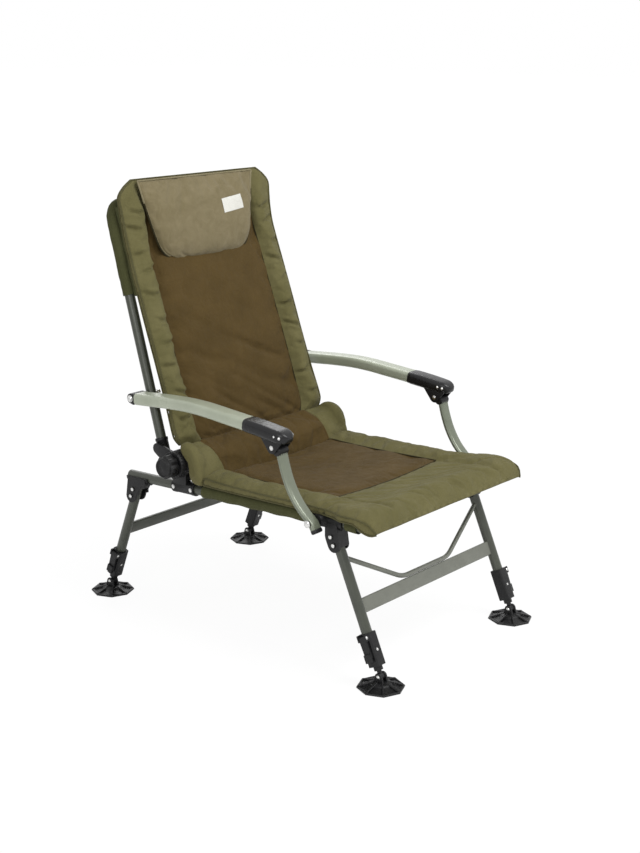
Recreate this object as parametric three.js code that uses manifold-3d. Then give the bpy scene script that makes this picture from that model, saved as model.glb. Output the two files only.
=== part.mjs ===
// Folding fishing chair: padded seat and back, knob hinges, parallelogram arm rests, folding telescopic legs.
// Millimetres, +Z up, floor at 0, the sitter faces -Y.
// Right-hand pieces (_r) are at -X, left-hand ones (_l) at +X.
import * as THREE from "three";
import { mergeVertices } from "three/addons/utils/BufferGeometryUtils.js";
import Module from "manifold-3d";

const wasm = await Module();
wasm.setup();
const { Manifold, Mesh } = wasm;

// ---- Driving dimensions ----

const gap = 0.3; // between pieces that touch
const running = 0.3; // round a pin in its hole
const overrun = 2; // how far a cutter runs past the face it opens
const roundSides = 16;
const smallSides = 10;
const fullTurn = 360; // degrees
const flatPower = 4; // keeps a padded section flat until near its edge
const halfShare = 0.5;
const simplifyTolerance = 0.02;

// Frame tubes
const frameX = 231; // rails, legs and the feet of the back tube
const beyond = (out) => frameX + out; // a place across, given from the frame's sides outwards
const tubeRadius = 11;
const tubeWall = 1.5;

// Side rails, given by the height of their axis over y = 0 and its fall towards the rear
const railHeight = 307.8;
const railFallShare = 0.04;
const railFrontY = -355.5;
const railRearY = 318.5;
const crossRadius = 9;
const crossFrontY = -346;
const crossRearY = 100;

// Every height named ...Over is given over the rails at y = 0, and lifted() adds their height.
const lifted = ([y, over]) => [y, railHeight + over];

// Recline hinge, arm bolt and support pivot: three corners of a parallelogram, as [y, z]
const reclineOver = [154.5, 47.2];
const armBoltOver = [247.5, 184.2];
const supportOver = [-248, 14.2];
const [reclineAt, armBoltAt, supportAt] = [reclineOver, armBoltOver, supportOver].map(lifted);
const armFrontAt = armBoltAt.map((value, i) => value + supportAt[i] - reclineAt[i]);

// Legs
const footY = 392.5;
const ankleZ = 24;
const pivotDrop = 28; // leg pivot under the rail axis
const legPivotY = { front: -273.5, rear: 297.5 };
const legFootSign = { front: -1, rear: 1 };
const legOverPivot = 3; // tube left above its pivot
const legTubeStart = 26; // from the ankle, along the leg
const legFoldAngle = { front: 102, rear: 80 };
const pivotPinRadius = 4;
const rivetHeadRadius = 5.5;
const rivetHeadHeight = 1.8;

// Leg brackets
const bracketWall = 4;
const bracketCheek = 4.5;
const bracketRadius = tubeRadius + bracketWall;
const bracketHalfWidth = tubeRadius + bracketCheek;
const bracketReach = 18; // second rivet, along the leg from the pivot
const pocketRoom = 1.3; // between the leg and the web of its bracket
const bracketRailSpan = { front: [-25, 52], rear: [-44, 20] }; // along the rail from the pivot
const saddleTop = 1.5; // the rear bracket stays open above this height over the rail axis
const bracketWeb = 24; // hollow corner between the rail and the front of the rear bracket
const supportBossRadius = 10.8;
const supportBossRoom = 1;

// Cam locks, stems and foot pads, along the leg from the ankle
const lockStart = 22;
const lockEnd = 90;
const lockWallX = 2;
const lockWallY = 2.5;
const lockHalfX = tubeRadius + lockWallX;
const lockHalfY = tubeRadius + lockWallY;
const lockCorner = 4;
const lugHalfY = 11.5;
const lugStart = 76;
const leverPivotFromLock = 4.2;
const lugFromLock = 8;
const leverPivotOut = lockHalfX + leverPivotFromLock;
const lugOut = lockHalfX + lugFromLock;
const leverPivotUp = 83;
const leverHubRadius = 3.4;
const leverHalfY = 8;
const leverStart = 33;
const leverThick = 5;
const leverTip = 8.5;
const leverPinRadius = 1.8;
const stemRoom = 0.3; // between the stem and the leg tube round it
const stemWall = 1.5;
const stemTubeRadius = tubeRadius - tubeWall - stemRoom;
const stemTubeBore = stemTubeRadius - stemWall;
const stemTubeStart = 13;
const stemTubeEnd = 176;
const stemBoreStart = 34;
const stemRodRadius = 5;
const stemEyeRadius = 7;
const stemEyeHalf = 4.5;
const padRadius = 49;
const padSides = 8;
const padRim = 3;
const padPlate = [[padRadius, 0], [padRadius, padRim], [24, 10.5], [12, 14.5]];
const padRibHalf = 1.6;
const padRibInner = 14;
const padRibOuter = 45;
const padRibInnerTop = 15.5;
const padRibOuterTop = 6.5;
const padEarInner = 5;
const padEarOuter = 9.4;
const padEarRadius = 8.5;
const padEarFootHalf = 10;
const padEarFootZ = 12;
const padPinRadius = 2.9;
const padPinHalf = 11.4;

// Crossbars and stay between the legs, along the leg from the ankle
const crossbarUp = { front: 142, rear: 148 };
const crossbarHeight = 30;
const crossbarThick = 8;
const crossbarCorner = 2.5;
const stayRadius = 5;
const stayEndDown = 45; // from the leg pivot
const stayMiddleUp = 162.5;
const stayCornerInset = 152;
const stayBend = 18;

// Recline hinge
const drumRadius = 30;
const drumTurnRoom = 1.2; // round the fixed drum for the link that turns past it
const drumBaseX = [-4, 12.7].map(beyond);
const drumTopX = [13, 31].map(beyond);
const clampY = [111, 177];
const clampRadius = bracketRadius;
const neckY = [133, 173];
const neckRise = 26;
const hingeBoltRadius = 4;
const linkX = [6, 21].map(beyond);
const linkDrumRadius = 24;
const socketRadius = 14;
const socketOver = [58.2, 92.2];
const socketArmOver = [211.5, 71.2];
const socketArmRadius = 12.5;
const hingeNutX = [-9, -4.4].map(beyond);
const hingeNutRadius = 7;
const knobBodyX = [31.4, 55].map(beyond);
const knobCapX = [54, 60].map(beyond);
const knobCapRadius = 21.5;
const knobCoreRadius = 22;
const knobLobes = 8;
const knobLobeRadius = 5.2;
const knobLobeAt = 20.5;

// Back tube: two legs leaning back, joined by a bar across the top
const backFootOver = 66.2;
const backLineLow = new THREE.Vector3(frameX, 216, 83.2); // heights over the rails, as those below
const backInset = 2;
const backLineHigh = new THREE.Vector3(frameX - backInset, 355, 552.2);
const backBarOver = 580.2;
const backBend = 42;
const bendSteps = 3;
const sleeveStartOver = 392.2;
const sleeveSlack = 4;
const sleeveRadius = tubeRadius + sleeveSlack;
const sleeveWebX = frameX - 7;
const sleeveWebThick = 4;
const sleeveWebBehind = 3.4; // from the middle of the back pad to the web's front edge
const sleeveWebTopOver = 575;

// Arm rests, supports and their fittings. Lines are [y, z] down the middle of the tube.
const armOut = 41;
const armX = frameX + armOut;
const armWidth = 40;
const armThick = 25;
const armCorner = 8.5;
const armWall = 1.4;
const armLineOver = [
  [236, 183.4], [190, 187.2], [140, 191.2], [85, 193.7],
  [35, 192.7], [-20, 188.7], [-84, 183.9], [-118, 180.9],
  [-150, 177.2],
];
const armLine = armLineOver.map(lifted);
const gripLineOver = [
  [-84, 183.9], [-118, 180.9], [-150, 177.2], [-170, 174.4], [-182, 172.4], [-189, 171.2],
];
const gripLine = gripLineOver.map(lifted);
const gripGrowShares = [1, 1, 1, 1, 0.88, 0.6];
const gripWidth = 43;
const gripThick = 27.5;
const gripCorner = 10;
const cheekInner = 14.4; // from the middle of the support
const cheekOuter = 17.9;
const cheekRadius = 12;
const cheekTopY = [-182, -124];
const cheekTopOver = [166.2, 171.2];
const rearFitHalf = 19.5;
const rearFitRadius = 11;
const rearFitCollar = 2.5; // against the end of the arm tube
const rearPlugLength = 24;
const armBoltRadius = 4;
const armBoltX = [-25, 66].map(beyond);
const armBoltHeadRadius = 8;
const armBoltNutRadius = 6.5;
const armBoltNut = 6;
const armSpacerRoom = 1.7; // from the back tube
const armFitRoom = 0.5; // from the fitting at the arm's rear
const armSpacerRadius = 7.5;
const supportOut = 40;
const supportX = frameX + supportOut;
const supportWidth = 27;
const supportThick = 12;
const supportWall = 1.4;
const supportLineOver = [
  [-257, 0], [-248, 13.4], [-229, 28.5], [-207.5, 50.2], [-188.5, 79.7], [-175.5, 111.2], [-165.5, 145.2],
];
const supportLine = supportLineOver.map(lifted);
const supportCapLength = 5;
const supportCapShares = [1, 0.9];
const headHalf = 14;
const headRadius = 10.5;
const headTubeRadius = 9.5;
const headTubeOver = [-164.5, 144.2];
const supportPinHeadX = [54.2, 57.2].map(beyond);
const supportPinHeadRadius = 7;

// Seat sling, in the tilted frame of the rails: heights are over the rail axis
const slingSleeveThick = 1.8;
const slingSleeve = tubeRadius + slingSleeveThick;
const slingEdgeInset = 9;
const slingEdgeX = frameX - slingEdgeInset;
const slingEdgeRise = 9;
const slingSag = 14;
const slingThick = 2;
const slingY = [-334, 88];
const slingGapY = { front: -303, rear: -217 };
const slingInset = 18;
const slingInnerX = frameX - slingInset;
const slingPoints = 16;

// Seat pad, in the same frame. Stations run from front to rear: [y, edge beyond the frame, underside]
const padOverClamps = 0.6;
const padUnder = bracketRadius + padOverClamps;
const padFrontUnder = -2;
const seatStations = [
  [-389.5, 23, 4], [-386, 26, padFrontUnder], [-372, 29, padFrontUnder], [-359, 31, padFrontUnder],
  [-357, 31, padUnder], [-326, 32, padUnder], [-301, 21.5, padUnder], [-266, 19, padUnder],
  [-255, 13, padUnder], [-205, 13, padUnder], [-150, 13, padUnder], [-95, 13, padUnder],
  [-40, 12, padUnder], [15, 11, padUnder], [58, 10, padUnder], [80, 9, padUnder], [88, 7, padUnder],
];
const seatThick = 18;
const seatEdgeThick = 7;
const seatCrown = 4;
const seatSag = 19.4;
const seatSagInset = 17;
const seatSagX = frameX - seatSagInset;
const seatSagAhead = 6; // ahead of the front cross tube the pad no longer sags
const seatSagFade = 60;
const seatAcrossShares = [-1, -0.975, -0.92, -0.83, -0.74, -0.7, -0.64, -0.45, -0.22];
const seatSeamShare = 0.7;
const seamDepth = 3;
const endThickShares = [0.5, 0.85];

// Back pad. Stations run up its face: [y, over, edge beyond the frame]
const backStations = [
  [163, 77, -9], [168, 90.7, 1], [174, 107.2, 6], [198.9, 176.2, 2], [228.6, 258.2, 1],
  [252.9, 325.2, 1], [280, 400.2, 0], [316.2, 504.2, -2], [324, 542.2, -1],
  [327.5, 572.2, 1], [330.2, 598.2, 3], [331.8, 617.2, -15], [332.5, 631.2, -35],
];
const backSwellShares = [0.3, 0.75, 1, 1, 1, 1, 1, 0.95, 0.8, 0.6, 0.35, 0.2, 0.1];
const backAcrossShares = [-1, -0.97, -0.92, -0.86, -0.8, -0.76, -0.73, -0.68, -0.34];
const backSeamShare = 0.73;
const backSwell = 23;
const backEdgeSwellShare = 0.36;
const backSwellPower = 0.8; // under 1 moves the crest of the swell inwards
const backCrown = 4;
const backRear = 9;
const backRearEdge = 2;

// Lumbar roll: a section in [y, z] across the middle, and one for its ends beside the hinges
const rollSectionOver = [
  [102, 14.2], [95, 26.2], [97, 44.2], [107, 60.2], [125, 71.2],
  [144, 76.7], [159, 78.2], [166, 72.2], [160, 58.2],
  [143, 42.2], [129, 26.2], [118, 14.2],
];
const rollSection = rollSectionOver.map(lifted);
const rollEndSectionOver = [
  [102, 14.2], [95, 24.2], [94, 42.2], [98, 60.2], [105, 75.2],
  [115, 84.2], [126, 86.2], [132, 80.2], [127, 68.2],
  [121, 52.2], [118, 32.2], [112, 15.2],
];
const rollEndSection = rollEndSectionOver.map(lifted);
const rollMiddleX = 88;
const rollX = [0, rollMiddleX, ...[-61, -54, -47, -19, -12, -7, 9, 18].map(beyond)];
const rollEndShares = [0, 0, 0, 0, 0, 0, 0.4, 1, 1, 1];
const rollSizeShares = [1, 1, 1, 0.93, 1, 0.98, 0.95, 1, 0.97, 0.75];

// Head pillow and its blank label, on the face of the back pad
const pillowStations = [ // [distance up from the pillow's foot, edge beyond the frame]
  [0, -160], [5, -121], [14, -101], [38, -86], [78, -73], [118, -62], [158, -54], [174, -50],
];
const pillowThickShares = [0.35, 0.7, 0.95, 1, 1, 0.95, 0.7, 0.4];
const pillowFootOver = 457.2;
const pillowThick = 15;
const pillowLift = 4.6;
const pillowAcrossShares = [-1, -0.96, -0.86, -0.6, -0.3];
const pillowEdgeShare = 0.4;
const labelX = [52, 116];
const labelUp = [87, 119];
const labelThick = 0.8;

// ---- Materials ----

const finish = (color, roughness, metalness = 0) =>
  new THREE.MeshStandardMaterial({ color, roughness, metalness });
const frameGreen = finish(0x626a5a, 0.42, 0.35);
const armGreen = finish(0x8a9583, 0.36, 0.4);
const blackPlastic = finish(0x17181a, 0.45);
const steel = finish(0xc4c5c3, 0.25, 1);
const olive = finish(0x55522f, 0.9);
const brown = finish(0x4f4124, 0.88);
const darkOlive = finish(0x3f4023, 0.92);
const suede = finish(0x696040, 0.95);
const labelWhite = finish(0xe4e4df, 0.7);

// ---- Solids ----

function solid(geometry) {
  const loose = geometry.index ? geometry.toNonIndexed() : geometry;
  const bare = new THREE.BufferGeometry().setAttribute("position", loose.getAttribute("position"));
  const merged = mergeVertices(bare);
  const index = merged.index.array;
  const triVerts = [];
  for (let i = 0; i < index.length; i += 3) {
    const [a, b, c] = index.slice(i, i + 3);
    if (a !== b && b !== c && c !== a) triVerts.push(a, b, c);
  }
  const vertProperties = merged.getAttribute("position").array;
  return new Manifold(new Mesh({ numProp: 3, vertProperties, triVerts: new Uint32Array(triVerts) }));
}

const join = (...parts) => Manifold.union(parts.flat());
const hull = (...parts) => Manifold.hull(parts.flat());

// A bar along X round the point [y, z].
function barX([x0, x1], [y, z], radius, sides = roundSides) {
  const bar = new THREE.CylinderGeometry(radius, radius, x1 - x0, sides);
  return solid(bar.rotateZ(Math.PI / 2).translate((x0 + x1) / 2, y, z));
}

// A bar along Y round the point [x, z].
function barY([y0, y1], [x, z], radius, sides = roundSides) {
  return solid(new THREE.CylinderGeometry(radius, radius, y1 - y0, sides).translate(x, (y0 + y1) / 2, z));
}

// A bar along Z round the point [x, y].
function barZ([z0, z1], [x, y], radius, sides = roundSides) {
  const bar = new THREE.CylinderGeometry(radius, radius, z1 - z0, sides);
  return solid(bar.rotateX(Math.PI / 2).translate(x, y, (z0 + z1) / 2));
}

// A bar between two points.
function barBetween(from, to, radius, sides = roundSides) {
  const along = to.clone().sub(from);
  const bar = new THREE.CylinderGeometry(radius, radius, along.length(), sides);
  const barWay = new THREE.Vector3(0, 1, 0);
  const turn = new THREE.Quaternion().setFromUnitVectors(barWay, along.clone().normalize());
  return solid(bar.applyQuaternion(turn).translate(...from.clone().lerp(to, halfShare).toArray()));
}

function block([x0, x1], [y0, y1], [z0, z1]) {
  const box = new THREE.BoxGeometry(x1 - x0, y1 - y0, z1 - z0);
  return solid(box.translate((x0 + x1) / 2, (y0 + y1) / 2, (z0 + z1) / 2));
}

// A closed solid through rings of points that all run the same way round, with flat ends.
function loft(rings) {
  const count = rings[0].length;
  const position = rings.flat().flatMap((point) => point.toArray());
  const index = [];
  for (let r = 0; r + 1 < rings.length; r++) {
    for (let i = 0; i < count; i++) {
      const a = r * count + i;
      const b = r * count + ((i + 1) % count);
      index.push(a, b, a + count, b, b + count, a + count);
    }
  }
  const capEnd = (ring, start, flip) => {
    const centre = ring.reduce((sum, point) => sum.add(point), new THREE.Vector3()).divideScalar(count);
    const middle = position.push(...centre.toArray()) / 3 - 1;
    for (let i = 0; i < count; i++) {
      const a = start + i;
      const b = start + ((i + 1) % count);
      index.push(...(flip ? [middle, b, a] : [middle, a, b]));
    }
  };
  capEnd(rings[0], 0, true);
  capEnd(rings.at(-1), (rings.length - 1) * count, false);
  const build = (faces) => {
    const geometry = new THREE.BufferGeometry();
    geometry.setAttribute("position", new THREE.Float32BufferAttribute(position, 3)).setIndex(faces);
    return solid(geometry);
  };
  const made = build(index);
  if (made.volume() > 0) return made;
  return build(index.map((_, i) => index[i - (i % 3) + ((3 - (i % 3)) % 3)]));
}

// A rounded box section as [across, over] points: a flat oval or a circle unless corner is given.
function ovalSection(width, thick, sides, corner = thick / 2) {
  return Array.from({ length: sides }, (_, i) => {
    const angle = ((i + halfShare) / sides) * 2 * Math.PI;
    const [across, over] = [Math.cos(angle), Math.sin(angle)];
    return [
      across * corner + Math.sign(across) * (width / 2 - corner),
      over * corner + Math.sign(over) * (thick / 2 - corner),
    ];
  });
}

// Rings of a section along a line of points. across is the section's first axis at every ring.
function ringsAlong(points, section, across, growShares = []) {
  return points.map((point, i) => {
    const before = points[Math.max(i - 1, 0)];
    const after = points[Math.min(i + 1, points.length - 1)];
    const along = after.clone().sub(before).normalize();
    const over = across.clone().cross(along).normalize();
    const side = along.clone().cross(over).normalize();
    const grow = growShares[i] ?? 1;
    const at = ([a, b]) => point.clone().addScaledVector(side, a * grow).addScaledVector(over, b * grow);
    return section.map(at);
  });
}

// Points with the two end ones moved outwards along the line, for a cutter that opens both ends.
function stretched(points, by) {
  const out = points.map((point) => point.clone());
  const first = out[0].clone().sub(out[1]).setLength(by);
  const last = out.at(-1).clone().sub(out.at(-2)).setLength(by);
  out[0].add(first);
  out.at(-1).add(last);
  return out;
}

const acrossX = new THREE.Vector3(1, 0, 0);
const sidePoints = (line, x) => line.map(([y, z]) => new THREE.Vector3(x, y, z));

function hollowOval(points, width, thick, wall, sides = roundSides, corner = thick / 2) {
  const outer = loft(ringsAlong(points, ovalSection(width, thick, sides, corner), acrossX));
  const inner = ovalSection(width - 2 * wall, thick - 2 * wall, sides, corner - wall);
  return outer.subtract(loft(ringsAlong(stretched(points, overrun), inner, acrossX)));
}

// ---- Scene graph ----

const chair = new THREE.Group();
chair.name = "carp_fishing_chair";

function addNode(name, shape, material) {
  const made = shape.simplify(simplifyTolerance).getMesh();
  const geometry = new THREE.BufferGeometry();
  geometry.setAttribute("position", new THREE.Float32BufferAttribute(made.vertProperties, made.numProp));
  geometry.setIndex(new THREE.BufferAttribute(made.triVerts, 1));
  geometry.computeVertexNormals();
  const mesh = new THREE.Mesh(geometry, material);
  mesh.name = name;
  chair.add(mesh);
}

// The left-hand piece as built, and its mirror image on the right.
function addPair(name, shape, material) {
  addNode(`${name}_l`, shape, material);
  addNode(`${name}_r`, shape.mirror([1, 0, 0]), material);
}

// ---- Frames of reference ----

const railTilt = -THREE.MathUtils.radToDeg(Math.atan(railFallShare));
const onRails = (shape) => shape.rotate([railTilt, 0, 0]).translate([0, 0, railHeight]);
const railZ = (y) => railHeight - railFallShare * y;

function legFrame(end) {
  const pivot = [legPivotY[end], railZ(legPivotY[end]) - pivotDrop];
  const ankle = [legFootSign[end] * footY, ankleZ];
  const up = new THREE.Vector2(pivot[0] - ankle[0], pivot[1] - ankle[1]);
  const length = up.length();
  up.normalize();
  const lean = -THREE.MathUtils.radToDeg(Math.asin(up.x));
  const place = (shape, x = frameX) => shape.rotate([lean, 0, 0]).translate([x, ...ankle]);
  const downFrom = (distance, turn = 0) => {
    const down = up.clone().negate().rotateAround(new THREE.Vector2(), THREE.MathUtils.degToRad(turn));
    return [pivot[0] + down.x * distance, pivot[1] + down.y * distance];
  };
  return { pivot, length, place, downFrom };
}

// ---- Side rails and cross tubes ----

function hollowBarY(yRange, x, radius, wall) {
  const [y0, y1] = yRange;
  const bore = barY([y0 - overrun, y1 + overrun], [x, 0], radius - wall);
  return barY(yRange, [x, 0], radius).subtract(bore);
}

function crossTube(y) {
  const reach = frameX - tubeRadius - gap;
  const bore = barX([-reach - overrun, reach + overrun], [y, 0], crossRadius - tubeWall, smallSides);
  return onRails(barX([-reach, reach], [y, 0], crossRadius, smallSides).subtract(bore));
}

addPair("rail", onRails(hollowBarY([railFrontY, railRearY], frameX, tubeRadius, tubeWall)), frameGreen);
addNode("cross_tube_front", crossTube(crossFrontY), frameGreen);
addNode("cross_tube_rear", crossTube(crossRearY), frameGreen);

const railBore = (yRange) => onRails(barY(yRange, [frameX, 0], tubeRadius + gap));

// ---- Legs ----

function clampSlice(y) {
  return onRails(barY([y - bracketRadius, y + bracketRadius], [frameX, 0], bracketRadius));
}

function legBracket(end) {
  const { pivot, downFrom } = legFrame(end);
  const xs = [frameX - bracketHalfWidth, frameX + bracketHalfWidth];
  const pocketXs = [frameX - tubeRadius - 2 * gap, frameX + tubeRadius + 2 * gap];
  const fold = -legFootSign[end] * legFoldAngle[end];
  const [from, to] = bracketRailSpan[end].map((value) => legPivotY[end] + value);
  const clamp = onRails(barY([from, to], [frameX, 0], bracketRadius));
  const cheeks = hull(
    barX(xs, pivot, bracketRadius),
    barX(xs, downFrom(bracketReach), bracketRadius),
    onRails(block(xs, [legPivotY[end] - bracketRadius, legPivotY[end] + bracketRadius], [-bracketRadius, 0])),
  );
  const reach = Math.max(...bracketRailSpan[end]) + bracketReach + bracketRadius;
  const swing = [0, fold / 3, (2 * fold) / 3, fold].map((turn) => downFrom(reach, turn));
  const pocketRadius = tubeRadius + pocketRoom;
  const pocket = hull([pivot, ...swing].map((at) => barX(pocketXs, at, pocketRadius)));
  let made = join(clamp, cheeks).subtract(pocket);
  if (end === "front") {
    const bossXs = [frameX, supportX - supportWidth / 2 - supportBossRoom];
    const boss = barX(bossXs, supportAt, supportBossRadius, smallSides);
    made = join(made, hull(boss, clampSlice(supportAt[0])));
  } else {
    const above = block([0, 2 * frameX], [from - overrun, to + overrun], [saddleTop, 2 * bracketRadius]);
    const webFront = legPivotY.rear - bracketRadius - bracketWeb;
    const webFoot = -bracketRadius - bracketWeb;
    const web = block(xs, [webFront, webFront + bracketWeb + overrun], [webFoot, 0])
      .subtract(barX([0, 2 * frameX], [webFront, webFoot], bracketWeb, smallSides));
    made = join(made, onRails(web).subtract(pocket)).subtract(onRails(above));
  }
  made = made.subtract(railBore([railFrontY - overrun, railRearY + overrun]));
  const rivets = [pivot, downFrom(bracketReach)].flatMap((at) => [
    barX([xs[0] - rivetHeadHeight, xs[0] + gap], at, rivetHeadRadius, smallSides),
    barX([xs[1] - gap, xs[1] + rivetHeadHeight], at, rivetHeadRadius, smallSides),
  ]);
  made = join(made, barX([xs[0], xs[1]], pivot, pivotPinRadius, smallSides), rivets);
  if (end === "rear") return made;
  return join(
    made,
    barX([frameX + bracketHalfWidth, supportPinHeadX[1]], supportAt, pivotPinRadius, smallSides),
    barX(supportPinHeadX, supportAt, supportPinHeadRadius, smallSides),
  );
}

function legTube(end) {
  const { length, place } = legFrame(end);
  const reach = [legTubeStart, length + legOverPivot];
  const bore = barZ([reach[0] - overrun, reach[1] + overrun], [0, 0], tubeRadius - tubeWall);
  const cross = barX([-2 * tubeRadius, 2 * tubeRadius], [0, length], pivotPinRadius + running, smallSides);
  return place(barZ(reach, [0, 0], tubeRadius).subtract(bore).subtract(cross));
}

function roundedColumn([x0, x1], [y0, y1], [z0, z1], corner) {
  const corners = [x0 + corner, x1 - corner].flatMap((x) => [y0 + corner, y1 - corner].map((y) => [x, y]));
  return hull(corners.map((at) => barZ([z0, z1], at, corner, smallSides)));
}

function camLock(end) {
  const { place } = legFrame(end);
  const sides = [[-lockHalfX, lockHalfX], [-lockHalfY, lockHalfY]];
  const shell = roundedColumn(...sides, [lockStart, lockEnd], lockCorner);
  const lug = block([0, lugOut], [-lugHalfY, lugHalfY], [lugStart, lockEnd]);
  const slot = block([lockHalfX, lugOut + overrun], [-leverHalfY - gap, leverHalfY + gap], [0, 2 * lockEnd]);
  const leverAt = [leverPivotOut, leverPivotUp];
  const pin = barY([-2 * lugHalfY, 2 * lugHalfY], leverAt, leverPinRadius + gap / 2, smallSides);
  const tubeHole = barZ([legTubeStart - gap, lockEnd + overrun], [0, 0], tubeRadius + gap);
  const stemHole = barZ([0, lockEnd], [0, 0], stemTubeRadius + gap);
  return place(join(shell, lug.subtract(slot)).subtract(tubeHole).subtract(stemHole).subtract(pin));
}

function camLever(end) {
  const { place } = legFrame(end);
  const inner = lockHalfX + gap;
  const ys = [-leverHalfY, leverHalfY];
  const hub = barY(ys, [leverPivotOut, leverPivotUp], leverHubRadius, smallSides);
  const arm = hull(hub, block([inner, inner + leverThick], ys, [leverStart + leverTip, leverPivotUp]));
  const tip = block([inner + leverThick / 2, inner + leverTip], ys, [leverStart, leverStart + 2 * leverTip]);
  const pin = barY([-lugHalfY, lugHalfY], [leverPivotOut, leverPivotUp], leverPinRadius, smallSides);
  return place(join(arm, tip, pin));
}

function stem(end) {
  const { place } = legFrame(end);
  const bore = barZ([stemBoreStart, stemTubeEnd + overrun], [0, 0], stemTubeBore, smallSides);
  const tube = barZ([stemTubeStart, stemTubeEnd], [0, 0], stemTubeRadius).subtract(bore);
  const rod = barZ([0, stemTubeStart + overrun], [0, 0], stemRodRadius, smallSides);
  const eyeXs = [-stemEyeHalf, stemEyeHalf];
  const rodInEye = rod.intersect(block(eyeXs, [-stemEyeRadius, stemEyeRadius], [0, stemTubeEnd]));
  const eye = barX(eyeXs, [0, 0], stemEyeRadius, smallSides);
  const hole = barX([-2 * stemEyeHalf, 2 * stemEyeHalf], [0, 0], padPinRadius + running, smallSides);
  return place(join(tube, rodInEye, eye).subtract(hole));
}

function footPad(end) {
  const profile = [[0, 0], ...padPlate, [0, padPlate.at(-1)[1]]].map((at) => new THREE.Vector2(...at));
  const plate = solid(new THREE.LatheGeometry(profile, padSides).rotateX(Math.PI / 2));
  const ribYs = [-padRibHalf, padRibHalf];
  const rib = hull(
    block([padRibInner, padRibInner + padRibHalf], ribYs, [0, padRibInnerTop]),
    block([padRibOuter - padRibHalf, padRibOuter], ribYs, [0, padRibOuterTop]),
  );
  const ribs = Array.from({ length: padSides }, (_, i) => rib.rotate([0, 0, (i * fullTurn) / padSides]));
  const ear = hull(
    barX([padEarInner, padEarOuter], [0, ankleZ], padEarRadius, smallSides),
    block([padEarInner, padEarOuter], [-padEarFootHalf, padEarFootHalf], [0, padEarFootZ]),
  );
  const pin = barX([-padPinHalf, padPinHalf], [0, ankleZ], padPinRadius, smallSides);
  return join(plate, ribs, ear, ear.mirror([1, 0, 0]), pin).translate([frameX, legFootSign[end] * footY, 0]);
}

function crossbar(end) {
  const { place } = legFrame(end);
  const reach = frameX - tubeRadius - gap;
  const halfHigh = crossbarHeight / 2 - crossbarCorner;
  const halfThick = crossbarThick / 2 - crossbarCorner;
  const edges = [-halfHigh, halfHigh].flatMap((z) => [-halfThick, halfThick].map((y) => [y, z]));
  const bars = edges.map((at) => barX([-reach, reach], at, crossbarCorner, smallSides));
  return place(hull(bars).translate([0, 0, crossbarUp[end]]), 0);
}

for (const end of ["front", "rear"]) {
  addPair(`${end}_leg_bracket`, legBracket(end), blackPlastic);
  addPair(`${end}_leg_tube`, legTube(end), frameGreen);
  addNode(`${end}_crossbar`, crossbar(end), frameGreen);
  addPair(`${end}_leg_lock`, camLock(end), blackPlastic);
  addPair(`${end}_lock_lever`, camLever(end), blackPlastic);
  addPair(`${end}_leg_stem`, stem(end), blackPlastic);
  addPair(`${end}_foot_pad`, footPad(end), blackPlastic);
}

// A round bar that bends inside each inner corner of a line of points.
function bentLine(corners, bend) {
  const out = [corners[0]];
  for (let i = 1; i + 1 < corners.length; i++) {
    const start = corners[i].clone().lerp(corners[i - 1], bend / corners[i].distanceTo(corners[i - 1]));
    const end = corners[i].clone().lerp(corners[i + 1], bend / corners[i].distanceTo(corners[i + 1]));
    out.push(...new THREE.QuadraticBezierCurve3(start, corners[i], end).getPoints(bendSteps));
  }
  return [...out, corners.at(-1)];
}

const stayEndUp = legFrame("front").length - stayEndDown;
const stayCornerX = frameX - stayCornerInset;
const stayCorners = [
  [-frameX, stayEndUp], [-stayCornerX, stayMiddleUp], [stayCornerX, stayMiddleUp], [frameX, stayEndUp],
].map(([x, z]) => new THREE.Vector3(x, 0, z));
const staySection = ovalSection(2 * stayRadius, 2 * stayRadius, smallSides);
const stayRings = ringsAlong(bentLine(stayCorners, stayBend), staySection, new THREE.Vector3(0, 1, 0));
const stayTubes = [-frameX, frameX].map((x) => barZ([legTubeStart, 2 * stayEndUp], [x, 0], tubeRadius + gap));
const stayBar = loft(stayRings).intersect(block([-frameX, frameX], [-frameX, frameX], [0, 2 * stayEndUp]));
addNode("front_stay", legFrame("front").place(stayBar.subtract(join(stayTubes)), 0), frameGreen);

// ---- Back tube and its sleeve ----

const backAt = (over) => {
  const share = (over - backLineLow.z) / (backLineHigh.z - backLineLow.z);
  const point = backLineLow.clone().lerp(backLineHigh, share);
  return point.setZ(railHeight + point.z);
};
const mirrored = (point) => point.clone().setX(-point.x);

function backLine(startOver) {
  const corners = [backAt(startOver), backAt(backBarOver)];
  return bentLine([...corners, ...corners.map(mirrored).reverse()], backBend);
}

const backNormal = backAt(backBarOver).sub(backAt(backFootOver)).setX(0).cross(acrossX).normalize();

function roundPipe(points, radius, bore) {
  const outer = loft(ringsAlong(points, ovalSection(2 * radius, 2 * radius, smallSides), backNormal));
  const inner = ovalSection(2 * bore, 2 * bore, smallSides);
  return outer.subtract(loft(ringsAlong(stretched(points, overrun), inner, backNormal)));
}

const armBoltHole = (x0, x1) => barX([x0, x1], armBoltAt, armBoltRadius + running, smallSides);
const backTube = roundPipe(backLine(backFootOver), tubeRadius, tubeRadius - tubeWall)
  .subtract(armBoltHole(-2 * frameX, 2 * frameX));
addNode("back_tube", backTube, frameGreen);

const backCentre = ([y, over]) => new THREE.Vector3(0, y, railHeight + over);

function backFrame(i) {
  const before = backCentre(backStations[Math.max(i - 1, 0)]);
  const after = backCentre(backStations[Math.min(i + 1, backStations.length - 1)]);
  const forward = after.sub(before).normalize().cross(acrossX).negate();
  return { centre: backCentre(backStations[i]), forward };
}

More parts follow.
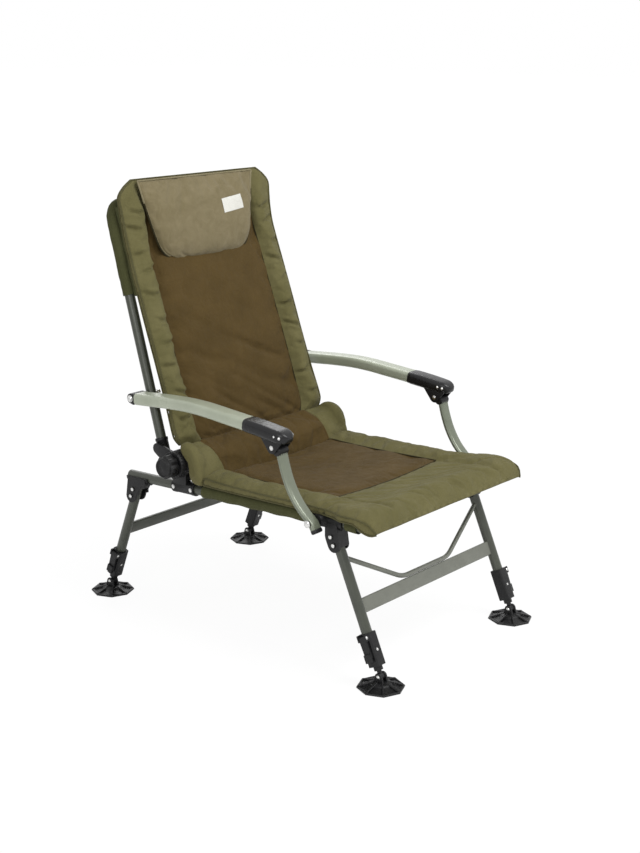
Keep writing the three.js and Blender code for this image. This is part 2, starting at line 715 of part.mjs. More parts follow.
// The web of cloth from the sleeve forwards to the rear of the back pad, beside its edge.
const webRings = backStations.flatMap(([, over], i) => {
  if (over < sleeveStartOver || over > sleeveWebTopOver) return [];
  const { centre, forward } = backFrame(i);
  const atPad = centre.addScaledVector(forward, -sleeveWebBehind);
  const atTube = backAt(over);
  atTube.y -= sleeveRadius - sleeveSlack / 2;
  const [low, high] = [sleeveWebX - sleeveWebThick / 2, sleeveWebX + sleeveWebThick / 2];
  const corners = [[low, atPad], [high, atPad], [high, atTube], [low, atTube]];
  return [corners.map(([x, point]) => point.clone().setX(x))];
});
const sleeveWeb = loft(webRings);
const sleevePipe = roundPipe(backLine(sleeveStartOver), sleeveRadius, tubeRadius + gap);
addNode("back_sleeve", join(sleevePipe, sleeveWeb, sleeveWeb.mirror([1, 0, 0])), darkOlive);

// ---- Recline hinges and knobs ----

const hingeBore = barX([0, 2 * frameX], reclineAt, hingeBoltRadius + running, smallSides);
const hingeClamp = onRails(barY(clampY, [frameX, 0], clampRadius));
const hingeNeck = block(drumBaseX, neckY, [railZ(reclineAt[0]), railZ(reclineAt[0]) + tubeRadius + neckRise]);
const hingeRivets = clampY.map((y, i) => {
  const at = y + (i ? -hingeNutRadius : hingeNutRadius);
  const xs = [frameX + clampRadius - rivetHeadHeight, frameX + clampRadius + rivetHeadHeight];
  return onRails(barX(xs, [at, 0], rivetHeadRadius, smallSides));
});
const hingeBase = join(hingeClamp, hingeNeck, barX(drumBaseX, reclineAt, drumRadius), hingeRivets)
  .subtract(railBore(clampY.map((y, i) => y + (i ? overrun : -overrun))))
  .subtract(hingeBore);
addPair("hinge_base", hingeBase, blackPlastic);

const socketArmAt = lifted(socketArmOver);
const socketEnds = socketOver.map(backAt);
const tubeSeat = barBetween(backAt(backFootOver - gap), backAt(socketOver[1] + overrun), tubeRadius + gap);
const linkDrumX = [drumTopX[0], linkX[1] + drumTopX[0] - linkX[0]];
const linkTurn = barX([0, drumTopX[0]], reclineAt, drumRadius + drumTurnRoom);
const link = hull(
  barX(linkDrumX, reclineAt, linkDrumRadius, smallSides),
  barX(linkX, socketArmAt, socketArmRadius, smallSides),
);
const hingeArm = join(
  barX(drumTopX, reclineAt, drumRadius),
  link.subtract(linkTurn),
  barX([frameX, linkX[1]], socketArmAt, socketArmRadius, smallSides),
  barBetween(...socketEnds, socketRadius),
).subtract(tubeSeat).subtract(hingeBore);
addPair("hinge_arm", hingeArm, blackPlastic);

const knobLobesMade = Array.from({ length: knobLobes }, (_, i) => {
  const angle = (i / knobLobes) * 2 * Math.PI;
  const at = [reclineAt[0] + knobLobeAt * Math.cos(angle), reclineAt[1] + knobLobeAt * Math.sin(angle)];
  return barX(knobBodyX, at, knobLobeRadius, smallSides / 2);
});
addPair("recline_knob", join(
  barX(knobBodyX, reclineAt, knobCoreRadius),
  knobLobesMade,
  barX(knobCapX, reclineAt, knobCapRadius),
  barX([hingeNutX[0], knobBodyX[1]], reclineAt, hingeBoltRadius, smallSides),
  barX(hingeNutX, reclineAt, hingeNutRadius, smallSides),
), blackPlastic);

// ---- Arm rests ----

const armPoints = sidePoints(armLine, armX);
addPair("arm_tube", hollowOval(armPoints, armWidth, armThick, armWall, roundSides, armCorner), armGreen);

const armSocketSection = ovalSection(armWidth + 2 * gap, armThick + 2 * gap, roundSides, armCorner + gap);
const armSocket = loft(ringsAlong(stretched(armPoints, gap), armSocketSection, acrossX));
const gripPoints = sidePoints(gripLine, armX);
const gripSection = ovalSection(gripWidth, gripThick, roundSides, gripCorner);
const gripCover = loft(ringsAlong(gripPoints, gripSection, acrossX, gripGrowShares));
const cheekXs = [[-cheekOuter, -cheekInner], [cheekInner, cheekOuter]];
const cheekAt = cheekXs.map((xs) => xs.map((x) => supportX + x));
const cheeks = cheekAt.map((xs) => hull(
  barX(xs, armFrontAt, cheekRadius, smallSides),
  block(xs, cheekTopY, cheekTopOver.map((over) => railHeight + over)),
));
const armPin = barX([cheekAt[0][0], cheekAt[1][1]], armFrontAt, pivotPinRadius, smallSides);
addPair("arm_grip", join(gripCover, cheeks).subtract(armSocket).add(armPin), blackPlastic);

const rearFitXs = [armX - rearFitHalf, armX + rearFitHalf];
const armEnd = armPoints[0];
const armEndWay = armEnd.clone().sub(armPoints[1]).normalize();
const alongArmEnd = (distances) => distances.map((at) => armEnd.clone().addScaledVector(armEndWay, at));
const plugSize = [armWidth, armThick].map((size) => size - 2 * (armWall + gap));
const plugSection = ovalSection(...plugSize, roundSides, armCorner - armWall - gap);
const plug = loft(ringsAlong(alongArmEnd([gap + overrun, -rearPlugLength]), plugSection, acrossX));
const collarSection = ovalSection(2 * rearFitHalf, armThick, roundSides, armCorner);
const collar = loft(ringsAlong(alongArmEnd([gap + rearFitCollar, gap]), collarSection, acrossX));
const armRearFitting = join(plug, hull(collar, barX(rearFitXs, armBoltAt, rearFitRadius)))
  .subtract(armBoltHole(0, 2 * frameX));
addPair("arm_rear_fitting", armRearFitting, blackPlastic);

const [boltStart, boltEnd] = armBoltX;
const spacerStart = backAt(armBoltOver[1]).x + tubeRadius + armSpacerRoom;
addPair("arm_bolt", join(
  barX(armBoltX, armBoltAt, armBoltRadius, smallSides),
  barX([rearFitXs[1] + gap, boltEnd], armBoltAt, armBoltHeadRadius, smallSides),
  barX([boltStart, boltStart + armBoltNut], armBoltAt, armBoltNutRadius, smallSides),
  barX([spacerStart, rearFitXs[0] - armFitRoom], armBoltAt, armSpacerRadius, smallSides),
), steel);

// ---- Arm supports ----

const supportPoints = sidePoints(supportLine, supportX);
const supportHole = barX([0, 2 * frameX], supportAt, pivotPinRadius + running, smallSides);
const supportTube = hollowOval(supportPoints, supportWidth, supportThick, supportWall, smallSides);
const headXs = [supportX - headHalf, supportX + headHalf];
const headTop = hull(
  barX(headXs, armFrontAt, headRadius, smallSides),
  barX(headXs, lifted(headTubeOver), headTubeRadius, smallSides),
);
const supportSeat = loft(ringsAlong(
  stretched(supportPoints, gap),
  ovalSection(supportWidth + 2 * gap, supportThick + 2 * gap, smallSides),
  acrossX,
));
const armPinHole = barX([0, 2 * frameX], armFrontAt, pivotPinRadius + running, smallSides);
addPair("support_tube", supportTube.subtract(supportHole), armGreen);
addPair("support_head", headTop.subtract(supportSeat).subtract(armPinHole), blackPlastic);

const capFoot = supportPoints[0].clone();
const capDrop = capFoot.clone().sub(supportPoints[1]).setLength(supportCapLength);
const capStart = capFoot.clone().addScaledVector(capDrop, gap / supportCapLength);
const capEnds = [capStart, capFoot.clone().add(capDrop)];
const supportCapSection = ovalSection(supportWidth, supportThick, smallSides);
const supportCap = loft(ringsAlong(capEnds, supportCapSection, acrossX, supportCapShares));
addPair("support_foot", supportCap, blackPlastic);

// ---- Seat sling and seat pad ----

function slingSection() {
  const outline = [];
  for (let i = 0; i <= slingPoints; i++) {
    const x = THREE.MathUtils.lerp(-slingEdgeX, slingEdgeX, i / slingPoints);
    outline.push([x, slingEdgeRise - slingSag * (1 - (x / slingEdgeX) ** 2)]);
  }
  const under = outline.map(([x, z]) => [x, z - slingThick]).reverse();
  return new THREE.Shape([...outline, ...under].map((at) => new THREE.Vector2(...at)));
}

const [slingFront, slingRear] = slingY;
const slingExtrude = { depth: slingRear - slingFront, bevelEnabled: false };
const slingSheet = new THREE.ExtrudeGeometry(slingSection(), slingExtrude)
  .rotateX(Math.PI / 2)
  .translate(0, slingRear, 0);
const slingSides = [-frameX, frameX].map((x) => barY(slingY, [x, 0], slingSleeve));
const slingBoreY = [slingFront - overrun, slingRear + overrun];
const slingBores = [-frameX, frameX].map((x) => barY(slingBoreY, [x, 0], tubeRadius + gap));
const slingOpenings = [-1, 1].map((side) => {
  const xs = [side * slingInnerX, side * 2 * frameX].sort((a, b) => a - b);
  return block(xs, [slingGapY.front, slingGapY.rear], [-2 * bracketRadius, 2 * bracketRadius]);
});
const sling = join(solid(slingSheet), slingSides).subtract(join(slingBores)).subtract(join(slingOpenings));
addNode("seat_sling", onRails(sling), darkOlive);

const mirrorShares = (shares) => [...shares, 0, ...shares.map((share) => -share).reverse()];

function seatRing([y, edgeOut, under], i, stations) {
  const halfWidth = beyond(edgeOut);
  const fromEnd = Math.min(i, stations.length - 1 - i);
  const endShare = endThickShares[fromEnd] ?? 1;
  const fade = THREE.MathUtils.clamp((y - crossFrontY + seatSagAhead) / seatSagFade, 0, 1);
  const shares = mirrorShares(seatAcrossShares);
  const low = shares.map((share) => {
    const x = share * halfWidth;
    const sag = seatSag * fade * Math.max(1 - (x / seatSagX) ** 2, 0);
    return [x, under - sag];
  });
  const high = shares.map((share, k) => {
    const away = Math.abs(share);
    const inner = away < seatSeamShare;
    const t = inner ? away / seatSeamShare : (away - seatSeamShare) / (1 - seatSeamShare);
    const seam = seatThick - seamDepth;
    const crown = (seatCrown + seamDepth) * Math.sin(Math.PI * t);
    const full = inner ? seatThick - seamDepth * t ** flatPower : seam + crown;
    const edge = inner ? 0 : (seam - seatEdgeThick) * t ** flatPower;
    const sag = seatSag * fade * Math.max(1 - (low[k][0] / seatSagX) ** 2, 0);
    return [low[k][0], Math.max(low[k][1], padUnder - sag) + (full - edge) * endShare];
  });
  return [...low, ...high.reverse()].map(([x, z]) => new THREE.Vector3(x, y, z));
}

addNode("seat_pad", onRails(loft(seatStations.map(seatRing))), olive);

// ---- Back pad, lumbar roll, head pillow and label ----

function backRing([, , edgeOut], i) {
  const halfWidth = beyond(edgeOut);
  const { centre, forward } = backFrame(i);
  const shares = mirrorShares(backAcrossShares);
  const face = shares.map((share) => {
    const away = Math.abs(share);
    if (away < backSeamShare) return backCrown * (1 - (away / backSeamShare) ** flatPower);
    const t = (away - backSeamShare) / (1 - backSeamShare);
    const swell = Math.sin(Math.PI * Math.min(t, 1) ** backSwellPower) + backEdgeSwellShare * t ** 2;
    return backSwell * backSwellShares[i] * swell;
  });
  const rear = shares.map((share) => -backRear + (backRear - backRearEdge) * Math.abs(share) ** flatPower);
  const point = (share, depth) => centre.clone().setX(share * halfWidth).addScaledVector(forward, depth);
  const front = shares.map((share, k) => point(share, face[k]));
  const back = shares.map((share, k) => point(share, rear[k]));
  return [...front, ...back.reverse()];
}

addNode("back_pad", loft(backStations.map(backRing)), olive);

function rollRing(x, endShare, sizeShare) {
  const points = rollSection.map((at, i) => {
    return new THREE.Vector2(...at).lerp(new THREE.Vector2(...rollEndSection[i]), endShare);
  });
  const total = points.reduce((sum, point) => sum.add(point), new THREE.Vector2());
  const centre = total.divideScalar(points.length);
  return points.map((point) => {
    const at = centre.clone().lerp(point, sizeShare);
    return new THREE.Vector3(x, at.x, at.y);
  });
}

const rollSide = (side) => rollX.map((x, i) => rollRing(side * x, rollEndShares[i], rollSizeShares[i]));
addNode("lumbar_roll", loft([...rollSide(-1).slice(1).reverse(), ...rollSide(1)]), brown);

// The pillow lies along the chord from its foot on the back pad to the pad's top.
const pillowAbove = backStations.findIndex(([, over]) => over > pillowFootOver);
const [stationUnder, stationAbove] = backStations.slice(pillowAbove - 1, pillowAbove + 1).map(backCentre);
const pillowShare = (railHeight + pillowFootOver - stationUnder.z) / (stationAbove.z - stationUnder.z);
const pillowFoot = stationUnder.clone().lerp(stationAbove, pillowShare);
const pillowUp = backCentre(backStations.at(-1)).sub(pillowFoot).normalize();
const pillowOut = pillowUp.clone().cross(acrossX).negate();
const pillowPoint = (x, up, out) => pillowFoot.clone()
  .setX(x)
  .addScaledVector(pillowUp, up)
  .addScaledVector(pillowOut, pillowLift + out);

function pillowRing([up, edgeOut], i) {
  const halfWidth = beyond(edgeOut);
  const shares = mirrorShares(pillowAcrossShares);
  const rear = shares.map((share) => pillowPoint(share * halfWidth, up, 0));
  const face = shares.map((share) => {
    const round = pillowEdgeShare + (1 - pillowEdgeShare) * Math.sqrt(1 - Math.abs(share) ** flatPower);
    return pillowPoint(share * halfWidth, up, pillowThick * pillowThickShares[i] * round);
  });
  return [...rear, ...face.reverse()];
}

addNode("head_pillow", loft(pillowStations.map(pillowRing)), suede);

const labelUnder = pillowThick + gap;
const labelOver = labelUnder + labelThick;
const labelCorners = [[0, labelUnder], [1, labelUnder], [1, labelOver], [0, labelOver]];
const labelRings = labelUp.map((up) => labelCorners.map(([i, out]) => pillowPoint(labelX[i], up, out)));
addNode("pillow_label", loft(labelRings), labelWhite);

export default chair;
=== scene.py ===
import math

import bmesh
import bpy
import numpy as np
from mathutils import Matrix, Vector, noise
from mathutils.bvhtree import BVHTree


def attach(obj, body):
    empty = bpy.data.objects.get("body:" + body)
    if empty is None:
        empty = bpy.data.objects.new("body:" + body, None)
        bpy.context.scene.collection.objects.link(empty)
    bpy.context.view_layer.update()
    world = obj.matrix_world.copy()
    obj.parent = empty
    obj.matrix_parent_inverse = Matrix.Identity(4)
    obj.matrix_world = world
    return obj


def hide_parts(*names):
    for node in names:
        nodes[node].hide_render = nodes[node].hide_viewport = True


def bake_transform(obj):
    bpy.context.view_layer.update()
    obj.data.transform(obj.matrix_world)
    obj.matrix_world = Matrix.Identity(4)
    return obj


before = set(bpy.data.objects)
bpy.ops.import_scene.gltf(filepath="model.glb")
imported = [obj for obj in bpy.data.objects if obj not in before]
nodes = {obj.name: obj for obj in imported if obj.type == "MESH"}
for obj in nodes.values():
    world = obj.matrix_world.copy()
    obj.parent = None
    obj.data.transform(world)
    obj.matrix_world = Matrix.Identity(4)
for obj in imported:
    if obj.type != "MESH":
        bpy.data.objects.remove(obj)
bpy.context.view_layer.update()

# Every shape below is worked out in millimetres, in the frame of the CAD, and scaled at the end.
MM = 0.001
SIDES = (("l", 1), ("r", -1))
ENDS = ("front", "rear")
X_AXIS = (1, 0, 0)
Z_AXIS = (0, 0, 1)
MIRROR = np.array((-1, 1, 1))

# Dimensions of the CAD model

FRAME_X = 231.0
TUBE = 11.0
RAIL_Z = 307.8
RAIL_FALL = 0.04
RAIL_Y = (-355.5, 318.5)
CROSS_Y = (-346.0, 100.0)
CROSS_RADIUS = 9.0
CROSS_BAR_UP = {"front": 142, "rear": 148}
STAY_CORNERS = ((-225, 243.5), (-79, 162.5), (79, 162.5), (225, 243.5))
RECLINE = (154.5, 355.0)
ARM_BOLT = (247.5, 492.0)
SUPPORT_PIVOT = (-248.0, 322.0)
ARM_FRONT = (-155.0, 459.0)
FOOT_Y = 392.5
ANKLE_Z = 24.0
LEG_PIVOT_Y = {"front": -273.5, "rear": 297.5}
PIVOT_DROP = 28.0
LEG_SIGN = {"front": -1, "rear": 1}
ARM_X = 272.0
SUPPORT_X = 271.0
ARM_LINE = [
    (236, 491.2), (190, 495), (140, 499), (85, 501.5), (35, 500.5), (-20, 496.5), (-84, 491.7), (-118, 488.7),
    (-150, 485),
]
GRIP_LINE = [(-80, 492), (-118, 488.7), (-150, 485), (-170, 482.2), (-182, 480.2), (-190, 478.8)]
SUPPORT_LINE = [
    (-257, 307.8), (-248, 321.2), (-229, 336.3), (-207.5, 358), (-188.5, 387.5), (-175.5, 419), (-165.5, 453),
]
BACK_LOW = np.array((231.0, 216.0, 391.0))
BACK_HIGH = np.array((229.0, 355.0, 860.0))
BACK_BAR_Z = 888.0
BACK_FOOT_Z = 374.0
BACK_BEND = 42


def rail_z(y):
    return RAIL_Z - RAIL_FALL * y


# Lines, rings and meshes


def unit(v):
    v = np.asarray(v, float)
    return v / np.linalg.norm(v, axis=-1, keepdims=True)


def square_to(axis):
    """A unit vector at right angles to the axis."""
    return unit(np.cross(axis, Z_AXIS if abs(axis[2]) < 0.9 else X_AXIS))


def summed(steps):
    return np.concatenate([[0], np.cumsum(steps)])


def lengths(line):
    """The distance along a line at each of its points."""
    return summed(np.linalg.norm(np.diff(line, axis=0), axis=1))


def spaced(line, count):
    """The line again as that many points, evenly spaced."""
    line = np.asarray(line, float)
    along = lengths(line)
    at = np.linspace(0, along[-1], count)
    return np.stack([np.interp(at, along, line[:, k]) for k in range(line.shape[1])], axis=1)


def curve_at(stations, t):
    """Each column of the stations, read smoothly at t along them."""
    table = np.asarray(stations, float)
    steps = np.linspace(0, 1, len(table))
    i = np.clip(np.searchsorted(steps, t) - 1, 0, len(steps) - 2)
    h = steps[i + 1] - steps[i]
    u = (t - steps[i]) / h
    h00, h10 = 2 * u**3 - 3 * u**2 + 1, u**3 - 2 * u**2 + u
    h01, h11 = -2 * u**3 + 3 * u**2, u**3 - u**2
    out = []
    for col in table.T:
        slope = np.gradient(col, steps)
        out.append(h00 * col[i] + h10 * h * slope[i] + h01 * col[i + 1] + h11 * h * slope[i + 1])
    return np.stack(out, axis=-1)


def smooth_line(points, count):
    """A smooth curve through the points, as evenly spaced points."""
    steps = 10 * (len(points) - 1)
    return spaced(curve_at(points, np.linspace(0, 1, steps + 1)), count)


def bent_line(corners, bend, count):
    """Straight runs between the corners, with each inner corner rounded over the distance bend."""
    c = np.asarray(corners, float)
    out = [c[:1]]
    t = np.linspace(0, 1, 9)[:, None]
    for i in range(1, len(c) - 1):
        start = c[i] + unit(c[i - 1] - c[i]) * bend
        end = c[i] + unit(c[i + 1] - c[i]) * bend
        out.append((1 - t) ** 2 * start + 2 * t * (1 - t) * c[i] + t**2 * end)
    out.append(c[-1:])
    return spaced(np.vstack(out), count)


def circle(radius, sides):
    a = (np.arange(sides) + 0.5) / sides * 2 * math.pi
    return np.stack([np.cos(a), np.sin(a)], axis=1) * radius


def flat_oval(width, thick, sides=32):
    """A section with round ends and flat faces."""
    round_part = circle(thick / 2, sides)
    return round_part + np.sign(round_part) * (width / 2 - thick / 2, 0)


def rounded_box(width, height, corner, per_corner=4):
    """A rectangle with round corners as a section."""
    out = []
    for k, (sx, sy) in enumerate(((1, 1), (-1, 1), (-1, -1), (1, -1))):
        for a in np.linspace(0, math.pi / 2, per_corner):
            angle = a + k * math.pi / 2
            at = (sx * (width / 2 - corner), sy * (height / 2 - corner))
            out.append((at[0] + corner * math.cos(angle), at[1] + corner * math.sin(angle)))
    return np.array(out)


def section_at(at, section, first, second):
    """A section as points round a place, with its two axes along first and second."""
    s = np.asarray(section, float)
    return at + np.outer(s[:, 0], first) + np.outer(s[:, 1], second)


def rings_along(line, section, across=None, grow=None):
    """Rings of a section along a line. across, where given, is the section's first axis at every ring."""
    line = np.asarray(line, float)
    along = unit(np.gradient(line, axis=0))
    if across is None:
        side = np.zeros_like(line)
        side[0] = square_to(along[0])
        for i in range(1, len(line)):
            side[i] = unit(side[i - 1] - along[i] * np.dot(side[i - 1], along[i]))
        over = np.cross(along, side)
    else:
        over = unit(np.cross(np.asarray(across, float), along))
        side = unit(np.cross(along, over))
    grow = np.ones(len(line)) if grow is None else np.asarray(grow, float)
    s = np.repeat(np.asarray(section, float)[None], len(line), axis=0)
    return line[:, None] + grow[:, None, None] * (s[..., :1] * side[:, None] + s[..., 1:] * over[:, None])


def row_at(y, xs, zs):
    """A row of points across the chair at that y."""
    return np.column_stack([xs, np.full(len(xs), y), zs])


def steps_round(rings):
    """The distance from each point of a ring to the next, and from the last to the first."""
    return np.linalg.norm(np.diff(np.concatenate([rings, rings[:, :1]], axis=1), axis=1), axis=2)


def grid_faces(u, v, cols, wrap=True):
    """The faces between rows of that many points, and their UVs from a table of u and a column of v."""
    faces, uvs = [], []
    for i in range(len(v) - 1):
        for j in range(cols if wrap else cols - 1):
            k = (j + 1) % cols
            faces.append((i * cols + j, i * cols + k, (i + 1) * cols + k, (i + 1) * cols + j))
            corners = ((i, j), (i, j + 1), (i + 1, j + 1), (i + 1, j))
            uvs.append([(u[row, col], v[row]) for row, col in corners])
    return faces, uvs


class Shape:
    """Collects rings, lathed and extruded forms into one mesh."""

    def __init__(self):
        self.points, self.faces, self.uvs = [], [], []
        self.count = 0

    def rings(self, rings, caps=(True, True), wrap=True):
        """A surface through rings of points that all run the same way round."""
        rings = np.asarray(rings, float)
        rows, cols = rings.shape[:2]
        u = summed(steps_round(rings).mean(axis=0)) * MM
        v = summed(np.linalg.norm(np.diff(rings, axis=0), axis=2).mean(axis=1)) * MM
        faces, uvs = grid_faces(np.tile(u, (rows, 1)), v, cols, wrap)
        ends = (tuple(range(cols))[::-1], tuple(range((rows - 1) * cols, rows * cols)))
        for end, closed in zip(ends, caps):
            if closed:
                faces.append(end)
                uvs.append([(0.0, 0.0)] * cols)
        self.points.append(rings.reshape(-1, 3))
        self.faces += [[self.count + k for k in face] for face in faces]
        self.uvs += uvs
        self.count += rows * cols
        return self

    def sheet(self, rows):
        """An open surface through rows of points."""
        return self.rings(rows, caps=(False, False), wrap=False)

    def tube(self, line, section, across=None, grow=None):
        return self.rings(rings_along(line, section, across, grow))

    def lathe(self, profile, at, axis, sides=32, radius_of=None):
        """A profile of (radius, distance along axis) turned round the axis through at."""
        axis = unit(axis)
        first = square_to(axis)
        second = np.cross(axis, first)
        a = np.arange(sides) / sides * 2 * math.pi
        out = []
        for r, t in profile:
            radius = r * (radius_of(a) if radius_of else np.ones(sides))
            ring = np.outer(radius * np.cos(a), first) + np.outer(radius * np.sin(a), second)
            out.append(np.asarray(at, float) + ring + axis * t)
        return self.rings(out, (profile[0][0] > 0, profile[-1][0] > 0))

    def plate(self, outline, xs, corner, steps=3):
        """A convex outline of (y, z) points made thick along X, with rounded edges."""
        o = np.asarray(outline, float)
        before, after = unit(o - np.roll(o, 1, 0)), unit(np.roll(o, -1, 0) - o)
        area = np.cross(o, np.roll(o, -1, 0)).sum()
        normal = np.stack([before[:, 1] + after[:, 1], -before[:, 0] - after[:, 0]], axis=1)
        normal = unit(normal) * math.copysign(1, area)
        low, high = xs
        out = []
        for k in range(steps + 1):
            a = k / steps * math.pi / 2
            out.append((low + corner * (1 - math.sin(a)), corner * (1 - math.cos(a))))
        turned = [(low + high - x, inset) for x, inset in out]
        rings = []
        for x, inset in [*sorted(out), *sorted(turned)]:
            p = o - normal * inset
            rings.append(np.column_stack([np.full(len(p), x), p]))
        return self.rings(rings)

    def rivet(self, at, axis, radius, height, sides=20):
        """A domed rivet head on a thin washer."""
        profile = [
            (radius, -0.4), (radius, 0.35), (radius * 0.93, 0.55), (radius * 0.8, 0.6),
            (radius * 0.74, height * 0.62), (radius * 0.5, height * 0.9), (radius * 0.22, height),
            (0, height),
        ]
        return self.lathe(profile, at, axis, sides)

    def mirror(self):
        """The same shape on the other side of the chair."""
        other = Shape()
        other.points = [p * MIRROR for p in self.points]
        other.faces = [f[::-1] for f in self.faces]
        other.uvs = [u[::-1] for u in self.uvs]
        other.count = self.count
        return other

    def piece(self, name, material, body, slot=None, node=None, sharp=40, bevel=0.0):
        """The shape as a piece of that body, which stands for a CAD node where one is named."""
        obj = mesh_object(name, np.vstack(self.points) * MM, self.faces, [material], None, self.uvs)
        obj.data.set_sharp_from_angle(angle=math.radians(sharp))
        if bevel:
            add_bevel(obj, bevel)
        return place(obj, body, node)


def pair(shape, name, material, body, slot, node=None, **settings):
    """A left piece and its mirror image on the right. Braces in body stand for the side's letter."""
    for s, made in (("l", shape), ("r", shape.mirror())):
        made.piece(f"{name}_{s}", material, body.format(s), slot, node and f"{node}_{s}", **settings)


def mesh_object(name, points, faces, materials, marks=None, uvs=None):
    mesh = bpy.data.meshes.new(name)
    mesh.from_pydata([tuple(p) for p in points], [], [tuple(f) for f in faces])
    for m in materials:
        mesh.materials.append(m)
    if marks is not None:
        mesh.polygons.foreach_set("material_index", np.asarray(marks, np.int32))
    if uvs is not None:
        layer = mesh.uv_layers.new(name="UVMap")
        flat = np.array([c for face in uvs for c in face], np.float32)
        layer.data.foreach_set("uv", flat.ravel())
    mesh.polygons.foreach_set("use_smooth", np.ones(len(mesh.polygons), bool))
    mesh.update()
    obj = bpy.data.objects.new(name, mesh)
    bpy.context.scene.collection.objects.link(obj)
    fix_normals(mesh)
    return obj


def fix_normals(mesh):
    bm = bmesh.new()
    bm.from_mesh(mesh)
    bmesh.ops.recalc_face_normals(bm, faces=bm.faces)
    bm.to_mesh(mesh)
    bm.free()
    mesh.update()


def add_bevel(obj, width):
    mod = obj.modifiers.new("edges", "BEVEL")
    mod.width = width * MM
    mod.segments = 2
    mod.limit_method = "ANGLE"
    mod.angle_limit = math.radians(40)
    mod.use_clamp_overlap = True
    weighted = obj.modifiers.new("normals", "WEIGHTED_NORMAL")
    weighted.keep_sharp = False


def place(obj, body, node=None):
    if node:
        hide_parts(node)
    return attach(obj, body)


def evaluated_mesh(obj):
    return obj.evaluated_get(bpy.context.evaluated_depsgraph_get()).to_mesh()


def read_vectors(mesh, key):
    values = np.zeros(len(mesh.vertices) * 3)
    mesh.vertices.foreach_get(key, values)
    return values.reshape(-1, 3)


# Materials


def srgb(r, g, b):
    def linear(c):
        c = c / 255
        return c / 12.92 if c <= 0.04045 else ((c + 0.055) / 1.055) ** 2.4

    return (linear(r), linear(g), linear(b), 1.0)


def scaled_color(color, by):
    """The colour made lighter or darker by a factor."""
    return tuple(min(1.0, c * by) for c in color[:3]) + (1.0,)


class Nodes:
    """The node tree of a material or world, with short ways to add the nodes used here."""

    def __init__(self, owner):
        owner.use_nodes = True
        self.owner, self.tree = owner, owner.node_tree
        self.shader = self.tree.nodes.get("Principled BSDF")

    def feed(self, socket, value):
        if isinstance(value, bpy.types.NodeSocket):
            self.tree.links.new(value, socket)
        else:
            socket.default_value = value

    def node(self, kind, inputs=None, **settings):
        made = self.tree.nodes.new(kind)
        for key, value in settings.items():
            setattr(made, key, value)
        for key, value in (inputs or {}).items():
            self.feed(made.inputs[key], value)
        return made

    def set(self, **values):
        for key, value in values.items():
            self.feed(self.shader.inputs[key.replace("_", " ")], value)

    def coords(self, output="Object"):
        return self.node("ShaderNodeTexCoord").outputs[output]

    def scaled(self, coords, scale):
        return self.node("ShaderNodeMapping", {"Vector": coords, "Scale": scale}).outputs["Vector"]

    def noise(self, coords, scale, detail, roughness=0.55, distortion=0.0):
        inputs = {"Vector": coords, "Scale": scale, "Detail": detail, "Roughness": roughness}
        return self.node("ShaderNodeTexNoise", {**inputs, "Distortion": distortion}).outputs["Fac"]

    def wave(self, coords, scale, direction, distortion):
        inputs = {"Vector": coords, "Scale": scale, "Distortion": distortion}
        made = self.node("ShaderNodeTexWave", inputs, wave_type="BANDS", bands_direction=direction)
        return made.outputs["Fac"]

    def math(self, operation, a, b):
        return self.node("ShaderNodeMath", {0: a, 1: b}, operation=operation).outputs[0]

    def span(self, value, low, high, out_low, out_high):
        inputs = {"Value": value, 1: low, 2: high, 3: out_low, 4: out_high}
        return self.node("ShaderNodeMapRange", inputs).outputs[0]

    def mix(self, factor, a, b):
        return self.node("ShaderNodeMix", {0: factor, 6: a, 7: b}, data_type="RGBA").outputs[2]

    def tint(self, base, other, value, low, high, amount=1.0):
        """The base, and up to that amount of the other colour where the value rises from low to high."""
        return self.mix(self.span(value, low, high, 0.0, amount), base, other)

    def bump(self, height, distance, normal=None):
        inputs = {"Height": height, "Distance": distance, "Strength": 1.0}
        if normal is not None:
            inputs["Normal"] = normal
        return self.node("ShaderNodeBump", inputs).outputs["Normal"]


def new_material(name):
    """A new material's nodes, and the object coordinates in it."""
    n = Nodes(bpy.data.materials.new(name))
    return n, n.coords()


WAVE_TURN = 2 * math.pi / 20  # one band of a wave texture, in its own units


def fabric(name, color, shade, thread=0.0011, sheen=0.04, crumple=0.0007):
    """Woven cloth: crossing threads with painted shade between them, uneven dye, small crumples and a soft
    sheen.
    """
    n, at = new_material(name)
    color, shade = srgb(*color), srgb(*shade)
    weave_at = n.coords("UV")
    warp = n.wave(weave_at, WAVE_TURN / thread, "X", 0.4)
    weft = n.wave(weave_at, WAVE_TURN / thread, "Y", 0.4)
    weave = n.math("MAXIMUM", warp, weft)
    streak = n.noise(n.scaled(weave_at, (9.0, 160.0, 1.0)), 1.0, 3.0)
    mixed = n.tint(color, shade, n.noise(at, 14.0, 5.0), 0.3, 0.7)
    mixed = n.tint(mixed, shade, streak, 0.35, 0.75, 0.22)
    mixed = n.tint(mixed, scaled_color(color, 1.22), n.noise(at, 900.0, 2.0), 0.45, 0.75, 0.5)
    # Painted shade between the threads: darker where neither band of the weave rises.
    mixed = n.mix(n.span(weave, 0.0, 0.6, 0.35, 0.0), mixed, scaled_color(shade, 0.6))
    roughness = n.span(n.noise(at, 55.0, 4.0), 0.3, 0.7, 0.66, 0.88)
    folds = n.noise(at, 48.0, 3.0, 0.5, 0.8)
    n.set(Base_Color=mixed, Roughness=roughness, Normal=n.bump(folds, crumple * 4, n.bump(weave, 0.00022)))
    n.set(Sheen_Weight=sheen, Sheen_Roughness=0.45, Specular_IOR_Level=0.08)
    return n.owner


